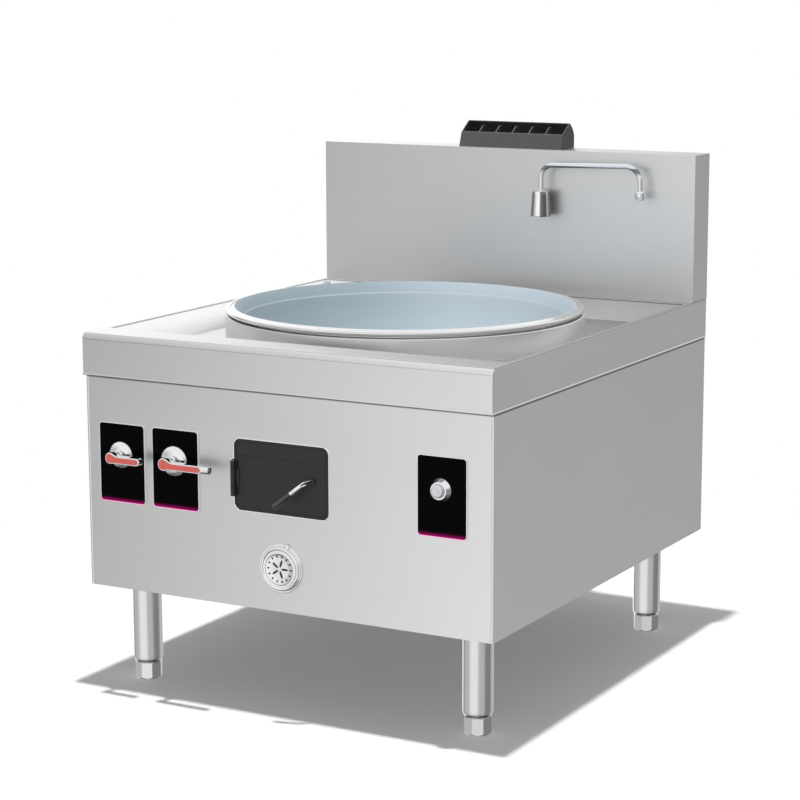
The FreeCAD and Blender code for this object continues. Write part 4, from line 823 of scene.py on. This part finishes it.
def knuckle(low, high):
    """One barrel of the hinge between two heights."""
    inner = knuckle_radius - knuckle_chamfer
    profile = [(pin_hole, low), (inner, low), (knuckle_radius, low + knuckle_chamfer),
               (knuckle_radius, high - knuckle_chamfer), (inner, high), (pin_hole, high)]
    return lathe(profile, (hinge_x, hinge_y, 0), 40, closed=True)


add_piece("door_knuckle", knuckle(strap_low, strap_high), "door", "door_black", "door_black")
strap_edges = (hinge_x, strap_x, strap_low, strap_high, 0.001)
strap_layers = [(*strap_edges, leaf_face_y), (*strap_edges, leaf_face_y - 0.0026),
                (hinge_x, strap_x - 0.0008, strap_low + 0.0006, strap_high - 0.0006, 0.001,
                 leaf_face_y - 0.0030)]
add_piece("door_strap", stack(strap_layers), "door", "door_black", "door_black")
add_piece("frame_knuckle_low", knuckle(0.4685, 0.4860), "range", "door_black", "door_black")
add_piece("frame_knuckle_high", knuckle(0.5270, 0.5445), "range", "door_black", "door_black")


def bead_round(path, half_width, height, face_y):
    """Raised bead along a closed upright path of (x, z) points."""
    work = bmesh.new()
    count = len(path)
    rows = []
    for i in range(count):
        before = Vector(path[i - 1])
        after = Vector(path[(i + 1) % count])
        run = (after - before).normalized()
        out = Vector((run.y, -run.x))
        row = []
        for k in range(5):
            angle = math.pi * k / 4
            spot = Vector(path[i]) + out * half_width * math.cos(angle)
            row.append(work.verts.new((spot.x, face_y - height * math.sin(angle), spot.y)))
        rows.append(row)
    return skin(work, rows, closed=True)


left_x = leaf_edges[0] - bead_out
path = [(x, z) for x, y, z in outline(left_x, leaf_edges[1] + bead_out, leaf_edges[2] - bead_out,
                                      leaf_edges[3] + bead_out, leaf_corner + bead_out, 0.0, 9)]
hinge_jog = [(left_x, 0.5485), (left_x - 0.0034, 0.5474), (left_x - 0.0062, 0.5462),
             (left_x - 0.0062, 0.4668), (left_x - 0.0034, 0.4656), (left_x, 0.4645)]
path = path[:18] + hinge_jog + path[18:]
add_piece("hatch_bead", bead_round(path, bead_half_width, bead_height, leaf_face_y), "range",
          "steel_sheet", "chrome")


# ---- Hatch latch ----------------------------------------------------------
# A chromed wire fork is welded to a black flange on the door. It bends into
# a ferrule that holds a round black grip.
flange_x = 0.0746
latch_z = 0.5163
flange_y = -0.5440
fork_bend = Vector((0.0678, -0.5645, latch_z))
latch_run = Vector((-0.0624, -0.0170, -0.0521))
latch_way = latch_run.normalized()
latch_side = Vector((0.0521, 0, -0.0624)).normalized()
wire_radius = 0.0019


def bar_mesh(name, profile, start, direction, steps=40):
    """Round bar from (radius, distance) points along a direction."""
    mesh = close_mesh(lathe(profile, (0, 0, 0), steps), name)
    mesh.transform(Matrix.Translation(start) @ direction.to_track_quat("Z", "Y").to_matrix().to_4x4())
    return mesh


def join(name, meshes):
    work = bmesh.new()
    for mesh in meshes:
        work.from_mesh(mesh)
        bpy.data.meshes.remove(mesh)
    return close_mesh(work, name)


wires = []
for side in (-1, 1):
    foot = Vector((flange_x, flange_y + 0.0010, latch_z - 0.0048 * side))
    bend = fork_bend + latch_side * (0.0029 * side)
    meet = fork_bend + latch_run * 0.12 + latch_side * (0.0026 * side)
    spots = [foot, foot.lerp(bend, 0.75)]
    for k in range(1, 8):
        share = k / 8
        spots.append(foot.lerp(bend, 0.75) * (1 - share) ** 2 + bend * 2 * share * (1 - share)
                     + meet * share ** 2)
    wires.append(bar_along("wire", spots + [meet, meet + latch_run * 0.06], wire_radius, 16))
collar = [(0, 0.0), (0.0038, 0.0003), (0.0047, 0.0022), (0.0051, 0.0060), (0.0051, 0.0250),
          (0.0047, 0.0262), (0.0047, 0.0276), (0.0052, 0.0284), (0.0052, 0.0308), (0, 0.0308)]
ferrule = bar_mesh("ferrule", collar, fork_bend + latch_run * 0.06, latch_way)
add_piece("latch_fork", join("latch_fork", wires + [ferrule]), "latch", "chrome", "chrome",
          "latch_handle")
flange = [(0, flange_y), (0.0072, flange_y), (0.0080, flange_y + 0.0008),
          (0.0080, flange_y + 0.0030), (0.0040, flange_y + 0.0030), (0.0040, -0.5310),
          (0, -0.5310)]
add_piece("latch_flange", lathe(flange, (flange_x, 0, latch_z), 40, "Y"), "latch", "chrome",
          "door_black")
hold = [(0, 0.0), (0.0050, 0.0), (0.0054, 0.0010), (0.0052, 0.0050), (0.0060, 0.0180),
        (0.0065, 0.0300)]
hold += arc(0.0, 0.0424, 0.0065, 0, 90, 8)[:-1] + [(0.0, 0.0489)]
add_piece("latch_handgrip", bar_mesh("latch_handgrip", hold, fork_bend + latch_run * 0.43,
                                     latch_way),
          "latch", "black_plastic", "grip_rubber", "latch_grip")


# ---- Port cover -----------------------------------------------------------
# A pressed chrome disc on one rivet closes the lighting port. It has a raised
# ring and a ribbed centre for the fingers.
cover_x = -0.0027
cover_z = 0.322
cover_back = -0.5405
cover_line = [(0.037, cover_back), (0.0535, cover_back), (0.0535, cover_back - 0.0012)]
cover_line += arc(0.0515, cover_back - 0.0014, 0.0020, 0, -90, 6)
cover_line += [(0.0490, cover_back - 0.0030), (0.0478, cover_back - 0.0022)]
cover_line += arc(0.0440, cover_back - 0.0062, 0.0038, 0, -160, 14)
cover_line += [(radius, cover_back - out) for radius, out in (
    (0.0385, 0.0074), (0.0370, 0.0070), (0.0345, 0.0078), (0.0335, 0.0086), (0.0325, 0.0078),
    (0.0200, 0.0074), (0.0060, 0.0077), (0.0, 0.0078), (0.0, 0.0066), (0.030, 0.0062),
    (0.036, 0.0050), (0.037, 0.0030))]
disc = lathe(cover_line, (cover_x, 0, cover_z), 128, "Y")
add_piece("cover_disc", close_mesh(disc, "cover_disc", 0.7), "cover", "chrome", "chrome",
          "port_cover")


def rib(name, half_length, half_width, height):
    """Pillow-shaped rib in the upright plane, its base at y = 0."""
    work = bmesh.new()
    rows = []
    for i in range(13):
        along = -1 + 2 * i / 12
        swell = math.sqrt(max(0.0, 1 - along * along)) + 1e-3
        row = []
        for k in range(7):
            angle = math.pi * k / 6
            row.append(work.verts.new((half_width * swell * math.cos(angle),
                                       -height * swell * math.sin(angle), half_length * along)))
        rows.append(row)
    return close_mesh(skin(work, rows, caps=True), name)


def take_mesh(holder):
    """Mesh of an object as its modifiers or its curve make it; the object goes."""
    bpy.context.view_layer.update()
    made = bpy.data.meshes.new_from_object(holder.evaluated_get(
        bpy.context.evaluated_depsgraph_get()))
    bpy.data.objects.remove(holder)
    return made


def ring_of_copies(name, source, inputs):
    """Geometry Nodes mesh: copies of a source set evenly on an upright circle."""
    tree = bpy.data.node_groups.new(name, "GeometryNodeTree")
    tree.interface.new_socket("Geometry", in_out="OUTPUT", socket_type="NodeSocketGeometry")
    for label, kind, value in (("Count", "NodeSocketInt", inputs[0]),
                               ("Radius", "NodeSocketFloat", inputs[1]),
                               ("Place", "NodeSocketVector", inputs[2]),
                               ("Finish", "NodeSocketMaterial", inputs[3])):
        socket = tree.interface.new_socket(label, in_out="INPUT", socket_type=kind)
        socket.default_value = value
    start = Wire(tree)
    count = start.make("NodeGroupInput", out="Count")
    circle = start.make("GeometryNodeMeshCircle", {}, {"Vertices": count,
                                                       "Radius": count.other("Radius")})
    points = start.make("GeometryNodeMeshToPoints", {}, {"Mesh": circle})
    turned = start.make("GeometryNodeInputIndex") / count * (2 * math.pi)
    spin = start.make("ShaderNodeCombineXYZ", {}, {"Z": turned})
    model = start.make("GeometryNodeObjectInfo", {}, {"Object": source}, out="Geometry")
    laid = start.make("GeometryNodeTransform", {}, {
        "Geometry": model, "Rotation": (math.radians(-90), 0, math.radians(-90))})
    copies = start.make("GeometryNodeInstanceOnPoints", {}, {
        "Points": points, "Instance": laid, "Rotation": spin})
    upright = start.make("GeometryNodeTransform", {}, {
        "Geometry": copies, "Rotation": (math.radians(90), 0, 0),
        "Translation": count.other("Place")})
    real = start.make("GeometryNodeRealizeInstances", {}, {"Geometry": upright})
    painted = start.make("GeometryNodeSetMaterial", {}, {"Geometry": real,
                                                         "Material": count.other("Finish")})
    start.make("NodeGroupOutput", {}, {"Geometry": painted})
    carrier = new_object(name, bpy.data.meshes.new(name))
    carrier.modifiers.new("copies", "NODES").node_group = tree
    return take_mesh(carrier)


relief_y = cover_back - 0.0074
for label, count, ring_at, size in (("spokes", 5, 0.0125, (0.0090, 0.0026, 0.0026)),
                                    ("studs", 14, 0.0275, (0.0030, 0.0020, 0.0018))):
    master = new_object(label + "_master", rib(label + "_master", *size))
    relief = ring_of_copies("cover_" + label, master, (count, ring_at, (cover_x, relief_y, cover_z),
                                                       finishes["dark_chrome"]))
    bpy.data.objects.remove(master)
    add_piece("cover_" + label, relief, "cover", "chrome", ())


# ---- Tap ------------------------------------------------------------------
# A tapered chrome body hangs on the backsplash. The swing spout is one bent
# tube with a short nozzle screwed to its end.
tap_x = 0.1185
tap_y = 0.4603
tap_low = 0.9799
tap_height = 0.0612
tail_z = tap_low + 0.018
spout_radius = 0.006
rise_z = 1.1029
nozzle_x = 0.3755
tap_line = [(radius, tap_low + height) for radius, height in (
    (0, 0.0006), (0.0205, 0.0), (0.0232, 0.0008), (0.0245, 0.0030), (0.0241, 0.0080),
    (0.0214, 0.0520), (0.0208, 0.0585), (0.0198, 0.0604), (0.0183, 0.0610), (0.0085, tap_height),
    (0.0078, 0.0630), (0.0062, 0.0630), (0.0061, 0.0500), (0, 0.0500))]
shader, start, place = open_finish("tap_chrome")
place_x, place_y, place_z = parts_of(start, place)
# Painted reflections: light and dark upright bands round the body's axis.
painted_reflection_bands = grey_around(start, place_x - tap_x, place_y - tap_y, (
    (0.0, 0.30), (0.28, 0.22), (0.295, 0.85), (0.335, 0.85), (0.35, 0.16), (0.44, 0.24),
    (0.46, 0.95), (0.54, 0.95), (0.57, 0.30), (1.0, 0.30)))
# Painted shade: a dark band along the lower side of the spout's run.
painted_underside_shade = (ramp(start, place_z, rise_z + 0.0016, rise_z - 0.0009)
         * ramp(start, place_z, rise_z - 0.0179, rise_z - 0.0079) * 0.8)
smudge = noise(start, place, 30.0)
pipe_tone = mix_colours(start, painted_underside_shade, (0.80, 0.81, 0.82, 1), (0.06, 0.06, 0.06, 1))
tap_top = tap_low + tap_height
pipe_share = ramp(start, place_z, tap_top - 0.0016, tap_top + 0.0004)
feed(shader, Base_Color=mix_colours(start, pipe_share, painted_reflection_bands, pipe_tone), Metallic=1.0,
     Roughness=smudge * 0.06 + 0.06)
body_mesh = close_mesh(lathe(tap_line, (tap_x, tap_y, 0), 96), "tap_cone")
tail = bar_mesh("tail", [(0, 0), (0.0075, 0), (0.0075, 0.028), (0.0115, 0.0284),
                         (0.0115, 0.0320), (0.0075, 0.0322), (0.0075, 0.052), (0, 0.052)],
                Vector((tap_x, tap_y, tail_z)), Vector((0, 1, 0)), 48)
nut = bar_mesh("nut", [(0, 0), (0.0135, 0), (0.0135, 0.0078), (0, 0.0078)],
               Vector((tap_x, tap_y + 0.0333, tail_z)), Vector((0, 1, 0)), 6)
add_piece("tap_cone", join("tap_cone", [body_mesh, tail, nut]), "range", "chrome", "tap_chrome",
          "tap_body")


def bent_tube(name, corners, radius):
    """Tube mesh along straight runs; corners are (point, bend radius)."""
    spots = [corners[0][0]]
    for i in range(1, len(corners) - 1):
        here, bend = corners[i]
        back = (corners[i - 1][0] - here).normalized()
        on = (corners[i + 1][0] - here).normalized()
        half = back.angle(on) / 2
        start = here + back * (bend / math.tan(half))
        middle = (back + on).normalized()
        centre = here + middle * (bend / math.sin(half))
        sweep = math.pi - 2 * half
        normal = (start - centre).cross(-back)
        for k in range(17):
            turn = Matrix.Rotation(sweep * k / 16, 3, normal)
            spots.append(centre + turn @ (start - centre))
    spots.append(corners[-1][0])
    line = bpy.data.curves.new(name, "CURVE")
    line.dimensions = "3D"
    line.bevel_depth = radius
    line.bevel_resolution = 8
    line.use_fill_caps = True
    spline = line.splines.new("POLY")
    spline.points.add(len(spots) - 1)
    for point, spot in zip(spline.points, spots):
        point.co = (*spot, 1.0)
    work = bmesh.new()
    work.from_mesh(take_mesh(new_object(name, line)))
    bmesh.ops.remove_doubles(work, verts=work.verts, dist=1e-6)
    return close_mesh(work, name)


spout_corners = [(Vector((tap_x, tap_y, 1.0109)), 0), (Vector((tap_x, tap_y, rise_z)), 0.030),
                 (Vector((nozzle_x, tap_y, rise_z + 0.0060)), 0.038),
                 (Vector((nozzle_x, tap_y, 1.0500)), 0)]
add_piece("spout_tube", bent_tube("spout_tube", spout_corners, spout_radius), "spout", "chrome",
          "tap_chrome", "tap_spout")
tip = [(0.0050, 1.0519), (0.0080, 1.0519), (0.0105, 1.0508), (0.0117, 1.0480), (0.0120, 1.0460),
       (0.0120, 1.0312), (0.0115, 1.0302), (0.0108, 1.0299), (0.0092, 1.0299), (0.0088, 1.0310),
       (0.0088, 1.0420), (0.0050, 1.0424)]
add_piece("spout_tip", lathe(tip, (nozzle_x, tap_y, 0), 64, closed=True), "spout", "chrome",
          "chrome", "tap_nozzle")


# ---- Flue hood ------------------------------------------------------------
# An enamelled casting with rounded edges stands on the backsplash over the
# flue. Its slope is open between upright ribs.
hood_edge = 0.0007
hood = add_piece("hood_casting", clean_copy("flue_hood", 0), "range", "hood_black", "hood_enamel",
                 "flue_hood")
round_edges(hood, hood_edge, 3)


# ---- Legs and feet --------------------------------------------------------
# Polished tubes stand in tapered end plugs. Each foot is an eight-sided cap
# on a threaded stem.
leg_radius = 0.0326
leg_inside = 0.0306
leg_top = 0.2279
plug_low = 0.0385
plug_top = 0.0540
stem_hole = 0.00805
foot_edge = 0.0008
leg_line = [(stem_hole, plug_low), (0.0290, plug_low), (0.0296, plug_low + 0.0005),
            (leg_radius, 0.0470), (leg_radius, 0.0486), (leg_radius - 0.0006, 0.0490),
            (leg_radius - 0.0006, 0.0497), (leg_radius, 0.0501), (leg_radius, leg_top),
            (leg_inside, leg_top), (leg_inside, plug_top), (stem_hole, plug_top)]
for end, y in (("front", -0.4455), ("back", 0.4439)):
    for side, x in (("left", -0.4161), ("right", 0.4161)):
        tag = end + "_" + side
        add_piece("leg_tube_" + tag, lathe(leg_line, (x, y, 0), 96, closed=True), "range",
                  "polished_steel", "steel_bright", "leg_" + tag)
        cap = add_piece("foot_cap_" + tag, clean_copy("foot_" + tag, 0.1),
                        "foot_" + end[0] + side[0], "polished_steel", "steel_bright",
                        "foot_" + tag)
        round_edges(cap, foot_edge)


# ---- Other solids ---------------------------------------------------------
# Pieces inside the cabinet and behind it keep their solids and take the
# finish of their material.
finish_of = {"steel_sheet": "steel_front", "polished_steel": "steel_bright",
             "wok_steel": "steel_bright", "hood_black": "hood_enamel",
             "frame_paint": "grey_paint", "pipe_steel": "galvanised"}
for part in frame["record"]["subparts"]:
    material = part["material_slot"]
    chosen = finish_of.get(material, material)
    if part["node"] == "hatch_frame":
        chosen = "door_black"
    for holder in nodes[part["node"]].material_slots:
        holder.material = finishes[chosen]
